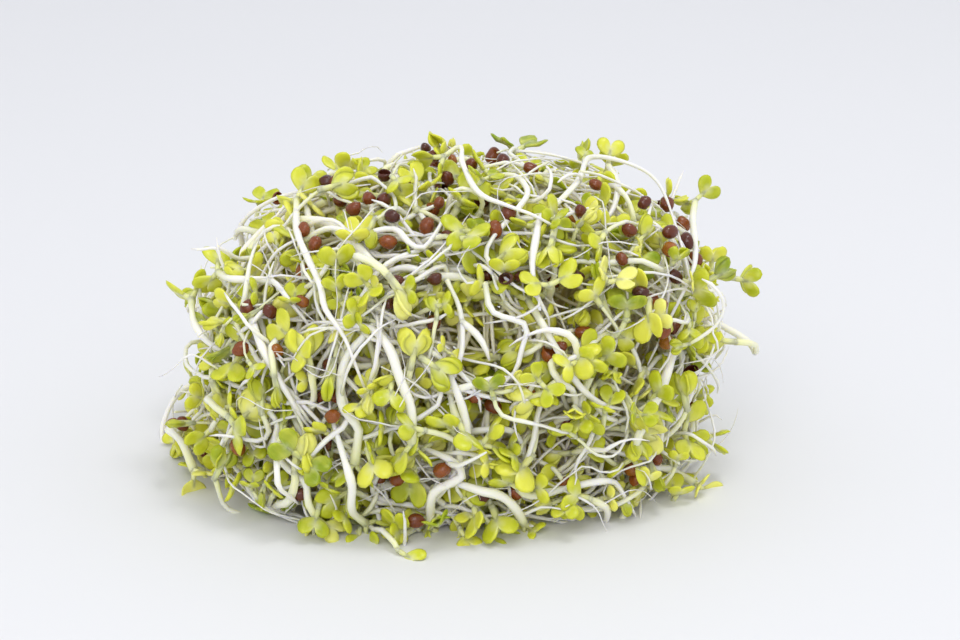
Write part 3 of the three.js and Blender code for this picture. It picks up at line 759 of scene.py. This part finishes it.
# ---- leaf pairs of the front, read as seen: across, up, way of the tips in degrees, how far
# open (0 shut, 1 half, 2 spread), and size and paleness in hundredths ----
PAIRS = [
    (-12.6, 35.6, 90, 1, 115, 55), (-12, 42, 20, 0, 110, 60), (-11.5, 44, 45, 1, 70, 50),
    (-5, 42, 300, 1, 90, 55), (-2.7, 42.5, 100, 1, 100, 70), (-10, 38.5, 100, 1, 100, 85),
    (-8.7, 37.6, 250, 0, 80, 45), (0.9, 45.3, 90, 0, 60, 90), (3, 41.8, 60, 1, 110, 50),
    (1.6, 37.6, 200, 1, 120, 45), (3.7, 37, -30, 1, 110, 40), (-0.6, 35.5, 90, 1, 60, 40),
    (4.6, 38.4, 60, 1, 80, 10), (12, 39.3, 150, 1, 100, 35), (13.8, 38.7, -20, 1, 80, 30),
    (22, 40.2, 20, 1, 110, 60), (17.4, 37, 200, 1, 95, 60), (8, 36.2, 30, 0, 110, 65),
    (25.6, 38.9, 60, 1, 90, 60), (24.1, 36.6, 80, 0, 90, 60), (-22.8, 30.4, 180, 1, 80, 40),
    (-25.5, 32.6, 180, 0, 80, 80), (-23.2, 28.3, 210, 0, 70, 20), (-27, 26.8, 190, 0, 100, 80),
    (-26.3, 25.2, 250, 0, 60, 70), (-24.5, 24, 160, 2, 120, 50), (-21.7, 22.6, -60, 1, 70, 50),
    (-17.4, 31.2, 90, 1, 70, 45), (-17.6, 26.6, 180, 2, 115, 70), (-15.8, 26.2, 90, 0, 120, 75),
    (-14.4, 33.6, 80, 0, 70, 60), (-12.2, 33, 90, 1, 80, 50), (-16.2, 21.6, 180, 1, 60, 80),
    (-18.9, 20, 270, 0, 90, 35), (-13, 21.8, 260, 0, 110, 35), (-21.4, 20.2, 75, 0, 100, 50),
    (-11.3, 27, 270, 1, 85, 95), (-8.4, 32.2, 160, 2, 70, 90), (-4.2, 31.8, -50, 0, 120, 100),
    (-3.5, 32.3, 0, 1, 80, 40), (3.2, 31, 270, 2, 95, 95), (3.9, 33.9, 150, 1, 100, 75),
    (-0.7, 30.8, 90, 0, 70, 45), (0.8, 31.2, 0, 1, 70, 50), (-3, 27, 75, 0, 110, 85),
    (0.9, 25.9, 0, 2, 55, 85), (0.2, 23.7, -20, 0, 110, 50), (-10.3, 29.6, 180, 1, 90, 45),
    (-8.8, 29, 30, 1, 80, 50), (-8.6, 22.1, 120, 1, 65, 80), (-8.5, 20, 260, 0, 90, 95),
    (-6.5, 22.3, 200, 0, 90, 80), (-6.3, 20.6, 240, 1, 105, 45), (5.6, 22.2, 90, 1, 100, 10),
    (1.5, 33.4, 250, 0, 80, 45), (7.1, 34.9, 90, 1, 90, 65), (12.4, 33.6, 90, 2, 100, 65),
    (11.4, 32.2, 180, 1, 80, 40), (17.1, 31.8, 120, 1, 95, 75), (17.5, 29, 260, 0, 100, 70),
    (18.1, 33, 90, 0, 100, 20), (23.3, 29.8, 190, 2, 115, 85), (25.9, 27.8, 20, 1, 100, 98),
    (8.8, 25, 200, 0, 110, 45), (10.4, 25.6, 200, 0, 80, 75), (14.9, 26.2, 100, 1, 70, 85),
    (13.9, 23.3, 200, 1, 105, 75), (16, 23.5, -20, 1, 115, 75), (18, 25.3, 30, 1, 115, 55),
    (21.2, 24.8, 60, 1, 110, 40), (21.5, 30.2, 90, 1, 120, 5), (9.1, 22.4, 60, 0, 60, 90),
    (19.2, 19.3, 70, 1, 80, 50), (30.5, 29, 10, 1, 120, 30), (33.5, 29.5, 80, 1, 90, 75),
    (29.2, 24.6, 270, 1, 80, 35), (29.9, 27.2, 90, 0, 60, 50), (32.6, 22, 170, 0, 100, 85),
    (27.4, 24.3, 180, 0, 60, 50), (28.6, 19.2, 110, 0, 110, 60), (26, 18.9, 30, 1, 100, 45),
    (27.8, 17.1, 10, 1, 90, 15), (24.7, 16.2, 270, 1, 100, 40), (22.9, 16.8, 300, 0, 120, 80),
    (24.6, 14.4, -10, 0, 120, 95), (23.2, 12.9, 270, 0, 100, 60), (29.8, 13.4, 30, 2, 110, 65),
    (33.8, 13.5, 0, 1, 80, 50), (30.6, 10.7, 0, 1, 80, 40), (28.1, 10.6, 90, 1, 70, 65),
    (25.7, 7.6, -60, 0, 100, 35), (28.2, 6.7, 80, 1, 90, 70), (26.8, 4.4, -60, 1, 90, 50),
    (30.4, 4.5, -20, 0, 90, 60), (24.3, 9.2, 80, 1, 70, 90), (20.4, 6.9, 10, 1, 80, 90),
    (21.7, 6, -60, 0, 70, 40), (9.2, 20, 190, 0, 110, 90), (10.9, 19.6, -80, 1, 90, 60),
    (0.8, 18.2, 100, 1, 110, 50), (1.7, 15.7, 270, 1, 110, 50), (4.3, 12.4, 190, 1, 90, 85),
    (5.8, 12.4, -20, 0, 90, 85), (4.9, 13.8, 90, 1, 70, 80), (7.7, 12.4, 200, 1, 90, 45),
    (8.6, 13.3, 20, 1, 70, 35), (8.8, 10.7, 230, 1, 125, 80), (12, 9.3, 10, 1, 100, 65),
    (15, 8, 160, 1, 110, 60), (14.8, 6.2, 270, 1, 90, 45), (18, 7.6, 30, 0, 90, 70),
    (11.9, 6.5, 180, 0, 80, 90), (6.8, 4.7, -60, 1, 120, 50), (2.8, 6.9, 180, 2, 110, 70),
    (2.9, 4.7, -80, 1, 95, 75), (14.7, 16.8, 120, 1, 70, 45), (16.6, 16.3, -90, 1, 90, 45),
    (17.4, 18.2, 10, 1, 85, 60), (-1.2, 14, 30, 0, 105, 95), (-4.2, 12.8, 210, 0, 80, 90),
    (-7.4, 14, 0, 1, 80, 45), (-7.8, 11.8, 300, 1, 110, 80), (-4.3, 9.9, 240, 1, 130, 35),
    (-16.6, 14.5, 80, 0, 125, 95), (-5.3, 17.9, 80, 0, 80, 35), (-8, 17.2, 190, 1, 100, 55),
    (-3.9, 16.6, 200, 1, 100, 40), (-1.3, 16.9, 270, 1, 100, 50), (-12.2, 4.8, 240, 1, 90, 55),
    (-10.8, 6.7, 290, 0, 80, 40), (-15, 4.6, 270, 1, 90, 25), (-15.1, 6.3, 100, 0, 70, 60),
    (-9.4, 18.8, 250, 1, 80, 70), (-7.5, 2.3, 100, 0, 80, 30), (-5.2, 2.9, 230, 1, 100, 80),
    (-6, 4.2, 200, 1, 90, 50), (-26.4, 17, 290, 0, 115, 80), (-24, 17.8, 0, 1, 90, 65),
    (-22.9, 15.8, -30, 1, 120, 40), (-22.2, 18.2, 45, 0, 110, 90), (-31, 16.8, 170, 1, 80, 70),
    (-34.3, 14, 180, 0, 80, 50), (-28.3, 13, 270, 2, 90, 50), (-26, 11, 70, 0, 100, 20),
    (-28.6, 9.4, 180, 1, 100, 60), (-27, 8, 200, 1, 120, 65), (-30, 6.4, 200, 1, 110, 55),
    (-22.5, 8.8, 90, 1, 60, 40), (-21.6, 6.3, 270, 0, 70, 40), (-19, 8.5, 60, 1, 80, 50),
    (-15.2, 12.7, 300, 0, 100, 75), (-16.6, 10.5, 270, 1, 80, 50), (-13.5, 16.5, 120, 1, 80, 70),
    (-18.5, 17, 90, 0, 100, 30), (-20.5, 12, 200, 1, 80, 60), (-13, 9.8, 60, 1, 80, 35),
]
# ---- seed hulls of the front beside the CAD's own: across and up ----
FRONT_HULLS = [
    (-2.3, 44.3), (6.7, 44.3), (10.3, 43), (-15, 42), (-9.3, 41), (-7, 41), (-5.8, 39.2), (-17, 37.5),
    (-15, 36.9), (-4, 42), (-6, 31.3), (-20.2, 29), (-33.3, 6), (-35, 8.7), (-3.5, 5.6), (4.4, 8.2),
    (-0.5, 11.5), (11.7, 20), (13.8, 25.3), (18.5, 27), (25.8, 26), (16.8, 39), (21.5, 37), (21, 34.5),
    (28.5, 36), (30.5, 34.3), (29.8, 33), (27, 33.3), (27.5, 31), (22.4, 31.3), (26, 29.4), (7.2, 33.2),
    (9.7, 33.4), (22.9, 9), (-19.5, 24.5), (-12.5, 18), (15.5, 14.5), (-24, 13), (6.5, 18.5),
]
# ---- strands of the front that no CAD sprout stands for: radius, then across and up ----
STRANDS = [
    (0.3, [(0.6, 33.3), (2, 30.5), (2.4, 28), (2.2, 25), (1, 22), (-1, 20.3), (-3, 20.5), (-4, 21.3)]),
    (0.35, [(-2.4, 25.2), (-1.5, 23.6), (0.5, 22), (3, 21), (5, 20.4), (8, 19.6)]),
    (0.3, [(-1.8, 26), (1, 24), (3, 22.3), (4.3, 20), (4.5, 18.5)]),
    (0.42, [(2.2, 29), (4, 27.5), (5, 26), (5.5, 24.5)]),
    (0.4, [(5, 33), (5.8, 30), (9.7, 28.3), (9.2, 25.8), (8.3, 23), (5.3, 21)]),
    (0.25, [(15.2, 18.8), (17.5, 17), (18.4, 18.2), (21, 16.8)]),
    (0.2, [(-15, 34), (-14.4, 30), (-12.2, 27), (-11, 25)]),
    (0.3, [(-21, 26), (-19.5, 22), (-17, 19), (-15.5, 17)]),
]

# ---- where the heap is thinner than its plain outside: a place across, back and up from the
# middle of its foot, how wide the dent is, and how much further out it makes its middle ----
THIN_PLACES = [
    (-36, 0, 16, 7, 0.45), (-30, 0, 35, 9, 0.42), (-36, 0, 23, 6, 0.25), (34, 0, 37, 7, 0.2),
    (37, 0, 13, 6, 0.25), (-12, 6, 43, 8, 0.25), (22, 6, 40, 8, 0.25), (8, 10, 43, 9, 0.15),
    (-33, -14, 2, 9, 0.5),
]
# ---- dark hollows in the front: across and up, and how wide. All are as deep. ----
HOLLOWS = [
    (4.5, 27.6, 3), (7.2, 27.4, 2.8), (2.3, 33, 1.8), (9.9, 29.5, 2), (16.3, 27.5, 2), (12, 31, 1.6),
    (22, 23.5, 2), (12.5, 14, 2.2), (5.5, 17, 2.4), (-1, 15, 1.5), (17.5, 9.5, 1.8), (-18, 12, 2),
    (-8, 25, 1.5), (12.8, 19, 1.5),
]
HOLLOW_DEPTH = 0.7
DENTS = np.array(THIN_PLACES + [
    (*(on_front(x, z, 1.0) - MIDDLE), width, HOLLOW_DEPTH) for x, z, width in HOLLOWS])
# ---- leaf pairs at the heap's foot: across, back and up, then as in PAIRS ----
SKIRT = [
    (-3.4, -31.5, 2.1, 340, 1, 85, 60), (-1.7, -24.8, 2.0, 270, 0, 90, 50),
    (-7.4, -25.4, 2.1, 20, 1, 80, 40), (-5.6, -26.6, 1.8, 10, 0, 75, 45),
    (-5.4, -24.5, 2.6, 250, 1, 90, 85), (2.6, -25.5, 2.0, 285, 1, 90, 75),
    (6.8, -25, 1.9, 300, 1, 100, 35), (-10.5, -24, 1.8, 260, 1, 80, 45),
    (11, -24.5, 1.8, 330, 1, 90, 60), (-14, -22.5, 1.9, 200, 1, 80, 50),
]


def wandering_line(seed, bearing, elevation, heading):
    """A line that wanders over the heap's outside, as in the CAD source."""
    random = repeatable(seed)
    azimuth, rise, course = (math.radians(v) for v in (bearing, elevation, heading))
    points = []
    for _ in range(WANDER_POINTS):
        points.append(on_outside(azimuth, rise, WANDER_UNDER + WANDER_DEPTH * next(random)))
        course += WANDER_TURN * (next(random) - 0.5)
        azimuth += WANDER_STRIDE * math.cos(course) / max(math.cos(rise), 0.3)
        rise = max(rise + WANDER_STRIDE * math.sin(course), WANDER_LOWEST)
    return points


def rising_line(seed, across, back):
    """A line that leans its way from the top of the heap down to the table, as in the CAD source."""
    random = repeatable(seed)
    storey = (HEIGHT - RISING_UNDER) / (RISING_POINTS - 1)
    points = [MIDDLE + [across, back, ROOT_END]]
    course = 2 * math.pi * next(random)
    while len(points) < RISING_POINTS:
        course += RISING_TURN * (next(random) - 0.5)
        step = [RISING_STRIDE * math.cos(course), RISING_STRIDE * math.sin(course), storey]
        points.insert(0, points[0] + step)
    return points


# ---- putting pieces into the scene ----

def show(name, mesh, material, nodes=()):
    """Makes the mesh a piece that rides on the frame and stands for the named CAD nodes."""
    piece = add_object(name, mesh)
    mesh.materials.append(material)
    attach(piece, "root")
    if nodes:
        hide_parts(*nodes)


def moved_to_node(shells, node):
    """Moves gathered shells so that the middle of their box is the CAD node's, above the table."""
    low, high = (np.array(corner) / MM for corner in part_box(node))
    places = np.vstack(shells.places)
    shift = (low + high) / 2 - (places.min(axis=0) + places.max(axis=0)) / 2
    shift[2] = max(shift[2], -places[:, 2].min())
    shells.places = [part + shift for part in shells.places]
    return shift


def take_stem(line, neck):
    """Marks a stem's room as taken."""
    room.take(line, neck * np.interp(np.linspace(0, 1, len(line)), [0, 0.5, 1], [1, 1, TIP]))


def rolled_side(way, roll):
    """The side of a leaf pair that is turned about its stem, as in the CAD source."""
    side = np.cross(UP, way)
    side = unit(side) if np.linalg.norm(side) > 0.1 else RIGHT
    return side * math.cos(roll) + np.cross(way, side) * math.sin(roll)


def cad_sprouts(material):
    """The fine version of every CAD sprout."""
    rng = np.random.default_rng(1)
    plans = [(f"inside_{i + 1:02d}", rising_line(i + 40, *spot), NECK, i, PAIR_LEAN)
             for i, spot in enumerate(INSIDE)]
    plans += [(name, [on_front(*place) for place in places], neck, roll, lean)
              for name, (neck, roll, lean, places) in FRONT.items()]
    plans += [(f"around_{i + 1:02d}", wandering_line(i + 1, *course), NECK, i, PAIR_LEAN)
              for i, course in enumerate(AROUND)]
    for name, points, neck, roll, lean in plans:
        line = smooth_line(points, 1.0)
        shells = Shells()
        way = unit(line[0] - line[1])
        pair = Pair(line[0], way, rolled_side(way, roll), lean, 1.0, rng.uniform(0.2, 0.95))
        stem(shells, line, neck, pair.variety, rng, FINE_SIDES)
        grown_pair(shells, pair, FINE_BLADE, rng)
        shift = moved_to_node(shells, "sprout_" + name)
        take_stem(line + shift, neck)
        pair.take_room(shift)
        show("fine_" + name, shells.mesh("fine_" + name), material, ["sprout_" + name])


def hull_shell(shells, centre, radius, rng):
    """A seed hull: a slightly flattened ball with a dimple, or an open cup where it has split."""
    split = rng.uniform() < SPLIT_CHANCE
    around = np.linspace(0, 2 * math.pi, HULL_TURNS, endpoint=False)
    lip = 1 + HULL_LIP * np.sin(2 * around + rng.uniform(0, 6))
    if split:
        down = np.minimum(SPLIT_DOWN[:, None] * lip**SPLIT_LIP, SPLIT_END)
        out, poles, dimpled = SPLIT_OUT, [-SPLIT_OUT[0], -SPLIT_OUT[-1]], 0
    else:
        down = np.repeat(np.linspace(0, math.pi, HULL_ROWS + 2)[1:-1, None], HULL_TURNS, axis=1)
        out, poles, dimpled = np.ones(HULL_ROWS), [1.0, -1.0], HULL_DIMPLE
    ball = np.stack([np.sin(down) * np.cos(around), np.sin(down) * np.sin(around), np.cos(down)], axis=2)
    ball = (ball * out[:, None, None]).reshape(-1, 3)
    ball = np.vstack([ball, [[0, 0, pole] for pole in poles]])
    dimple = 1 - dimpled * np.exp(-((ball[:, 2] - 1) ** 2) * 6)
    wobble = 1 + HULL_WOBBLE * np.sin(ball @ rng.normal(size=3) * 3 + rng.uniform(0, 6))
    axes = np.linalg.qr(rng.normal(size=(3, 3)))[0]
    if np.linalg.det(axes) < 0:
        axes[0] *= -1
    places = centre + (ball * (dimple * wobble)[:, None] * radius * HULL_SIDES) @ axes
    faces = closed_grid(HULL_ROWS, HULL_TURNS)
    if split:
        faces = [part[:, ::-1] for part in faces]
    tone = np.tile([1.0, 0.0, rng.beta(1.8, 2.0)], (len(places), 1))
    shells.add(places, tone, ball + rng.uniform(0, GRAIN_ROOM, 3), *faces)


def cad_hulls(material):
    rng = np.random.default_rng(2)
    for node in sorted(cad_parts):
        if not node.startswith("seed_hull"):
            continue
        low, high = (np.array(corner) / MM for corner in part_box(node))
        shells = Shells()
        centre = (low + high) / 2
        hull_shell(shells, centre, HULL_RADIUS, rng)
        room.take([centre], HULL_RADIUS)
        name = node.replace("seed_hull", "fine_hull")
        show(name, shells.mesh(name), material, [node])


def settled(spot, rng):
    """The roomiest of a few places for a hull near that spot."""
    tries = [spot + [0.3 * rng.normal(), rng.uniform(-0.7, 1.2), 0.3 * rng.normal()]
             for _ in range(HULL_TRIES)]
    return min(tries, key=lambda place: room.crush(place[None], HULL_ROOM))


def more_hulls(material):
    """The rest of the hulls, on the front and all round."""
    rng = np.random.default_rng(5)
    shells = Shells()
    spots = [settled(drawn_in(on_front(x, z)), rng) for x, z in FRONT_HULLS]
    while len(spots) < len(FRONT_HULLS) + MORE_HULLS:
        spot = on_outside(rng.uniform(0, 2 * math.pi), rng.uniform(0.03, 1.5), rng.uniform(-0.5, 3))
        if room.crush(spot[None], HULL_ROOM) < HULL_CROWD and fill_outness(spot) < HULL_OUT:
            spots.append(spot)
    for spot in spots:
        radius = rng.uniform(*HULL_RADII)
        spot[2] = max(spot[2], radius)
        hull_shell(shells, spot, radius, rng)
        room.take([spot], radius)
    show("more_hulls", shells.mesh("more_hulls"), material)


def strands(material):
    """The thin strands of the front, and the finest roots and hairs all round."""
    rng = np.random.default_rng(6)
    shells = Shells()
    for radius, places in STRANDS:
        line = smooth_line([on_front(x, z, 0.4) for x, z in places])
        stem(shells, line, radius, rng.uniform(), rng, FILL_SIDES, root=radius * 0.7, green=0.0)
        room.take(line, radius)
    for _ in range(HAIR_COUNT):
        radius = rng.uniform(*HAIR_RADII)
        start = on_outside(rng.uniform(-math.pi, math.pi), rng.uniform(0.03, 1.4), rng.uniform(-1.5, 2))
        start[2] = max(start[2], 0.3)
        if fill_outness(start) > HAIR_OUT:
            continue
        heading, length = rng.normal(size=3) * HAIR_FLATNESS, rng.uniform(*HAIR_LENGTHS)
        line = grow(start, heading, length, radius, rng, rng.uniform(*HAIR_RIMS), HAIR_KEEP)
        stem(shells, line, radius, rng.uniform(0.6, 1), rng, HAIR_SIDES, root=HAIR_TIP, green=0.0)
    show("fine_strands", shells.mesh("fine_strands"), material)


def read_pair(spot, degrees, opening, size, paleness, rng):
    """The pair that shows at a place, turned and set so that it finds room."""
    best, least = None, math.inf
    size = size / 100 * READ_SIZE
    for _ in range(READ_TRIES):
        turn = math.radians(degrees + rng.normal() * TURN_DOUBT)
        forward = (rng.normal() * 0.3, rng.uniform(-0.1, 0.7), rng.uniform(0.9, 1.6))[opening]
        way = unit(RIGHT * math.cos(turn) + SEEN_UP * math.sin(turn) - SEES * forward)
        facing = -SEES if opening == 1 else unit(np.cross(way, SEES) + rng.normal() * 0.3 * SEES)
        if opening == 0:
            facing = unit(rng.normal(size=3))
        side = unit(np.cross(way, turned(facing, way, rng.normal() * ROLL_DOUBT)))
        lean = [rng.uniform(*leans) for leans in READ_LEANS][opening]
        middle = spot + [0, rng.uniform(*READ_DEPTHS), 0]
        top = middle - way * (STALK_LENGTH + 0.5 * BLADE_LENGTH) * size * math.cos(lean)
        pair = Pair(top, way, side, lean, size, paleness / 100)
        crowd = room.crush(pair.lobes(), LOBE_RADIUS * size) + 0.3 * room.crush(top[None], 0.4)
        if crowd < least:
            best, least = pair, crowd
    return best


def drawn_in(spot):
    """The same spot, or the nearest towards the heap's middle that isn't outside the fill."""
    for share in np.linspace(1, 0.75, 11):
        nearer = HEART + (spot - HEART) * share
        if fill_outness(nearer) < DRAWN_IN:
            return nearer
    return nearer


def found_pair(rng, shallow, deep, straight):
    """A pair at a place of its own between two outnesses, or None. straight makes it point outward."""
    place = rng.uniform(PLACE_LOW, PLACE_HIGH) * [HALF_WIDTH, HALF_DEPTH, HEIGHT] + MIDDLE
    out = fill_outness(place)
    if not deep < out < shallow or place[2] < FOUND_LOWEST:
        return None
    size = rng.uniform(*FOUND_SIZES)
    best, least = None, CROWDED
    for _ in range(PLACE_TRIES):
        way = unit(straight * outward(place) + FOUND_TURN * rng.normal(size=3))
        side = unit(np.cross(way, rng.normal(size=3)))
        lean = rng.choice(FOUND_LEANS)
        pair = Pair(place, way, side, lean, size, rng.uniform())
        crowd = room.crush(pair.lobes(), LOBE_RADIUS * size)
        past = fill_outness(pair.lobes()) - max(shallow + LOBES_PAST, LOBES_OUT)
        crowd += PAST_COST * np.clip(past, 0, None).sum()
        if crowd < least:
            best, least = pair, crowd
    return best


def fill(material):
    """The rest of the heap's sprouts: those read on the front, then those all round and inside."""
    rng = np.random.default_rng(3)
    pairs = []
    seen = [(drawn_in(on_front(x, z)), *look) for x, z, *look in PAIRS]
    seen += [(MIDDLE + [x, y, z], *look) for x, y, z, *look in SKIRT]
    for read in seen:
        pairs.append((read_pair(*read, rng), READ_RIM, READ_KEEP))
        pairs[-1][0].take_room()
    for count, shallow, deep, rim, keep, straight in LAYERS:
        goal = len(pairs) + count
        while len(pairs) < goal:
            pair = found_pair(rng, shallow, deep, straight)
            if pair is not None:
                pairs.append((pair, rim, keep))
                pair.take_room()
    groups = [Shells() for _ in range(GROUPS)]
    for i, (pair, rim, keep) in enumerate(pairs):
        neck = pair.size * rng.uniform(*NECKS)
        rim = LOOSE_RIM if rng.uniform() < LOOSE_CHANCE else rim * rng.uniform(*RIMS)
        out = outward(pair.top)
        drift = np.cross(out, rng.normal(size=3))
        drift = unit(drift - [0, 0, 0.4 * abs(rng.normal())])
        hook = rng.choice(HOOKS) * (fill_outness(pair.top) < HOOKED_UNDER)
        line = grow(pair.top, -pair.way, rng.uniform(*LENGTHS), neck, rng, rim, keep, drift, hook)
        shells = groups[i * GROUPS // len(pairs)]
        stem(shells, line, neck, pair.variety, rng, FILL_SIDES, root=rng.uniform(*ROOTS))
        grown_pair(shells, pair, FILL_BLADE, rng)
        take_stem(line, neck)
    for i, shells in enumerate(groups):
        name = f"fill_sprouts_{i + 1}"
        show(name, shells.mesh(name), material)


def add_object(name, data):
    made = bpy.data.objects.new(name, data)
    bpy.context.scene.collection.objects.link(made)
    return made


def looking(name, data, place, way):
    """An object at a place in metres that looks that way."""
    made = add_object(name, data)
    made.location = place
    made.rotation_mode = "QUATERNION"
    made.rotation_quaternion = Vector(way).to_track_quat("-Z", "Y")
    return made


def stage():
    """A white table that curves up behind the heap."""
    places = [(x, y, z) for y, z in TABLE_ROWS for x in (-TABLE_SIDE, TABLE_SIDE)]
    faces = [(2 * i, 2 * i + 1, 2 * i + 3, 2 * i + 2) for i in range(len(TABLE_ROWS) - 1)]
    mesh = bpy.data.meshes.new("table")
    mesh.from_pydata(places, [], faces)
    table = add_object("table", mesh)
    for face in mesh.polygons:
        face.use_smooth = True
    table.modifiers.new("Round", "SUBSURF").render_levels = 3
    mesh.materials.append(table_material())


def studio():
    world = bpy.data.worlds.new("studio")
    bpy.context.scene.world = world
    world.use_nodes = True
    inputs = world.node_tree.nodes["Background"].inputs
    inputs["Color"].default_value = WORLD_COLOUR
    inputs["Strength"].default_value = WORLD_STRENGTH
    for name, place, size, power in LAMPS:
        data = bpy.data.lights.new(name, "AREA")
        data.size = size
        data.energy = power
        looking(name, data, place, LAMPS_AIM - np.array(place))
    bpy.context.scene.view_settings.view_transform = "Standard"


def camera():
    """The camera looks down at the front of the heap."""
    data = bpy.data.cameras.new("camera")
    data.lens = LENS
    bpy.context.scene.camera = looking("camera", data, (AIM - SEES * EYE_DISTANCE) * MM, SEES)


camera()
studio()
stage()
skin = sprout_material()
hull_skin = hull_material()
cad_sprouts(skin)
cad_hulls(hull_skin)
more_hulls(hull_skin)
fill(skin)
strands(skin)
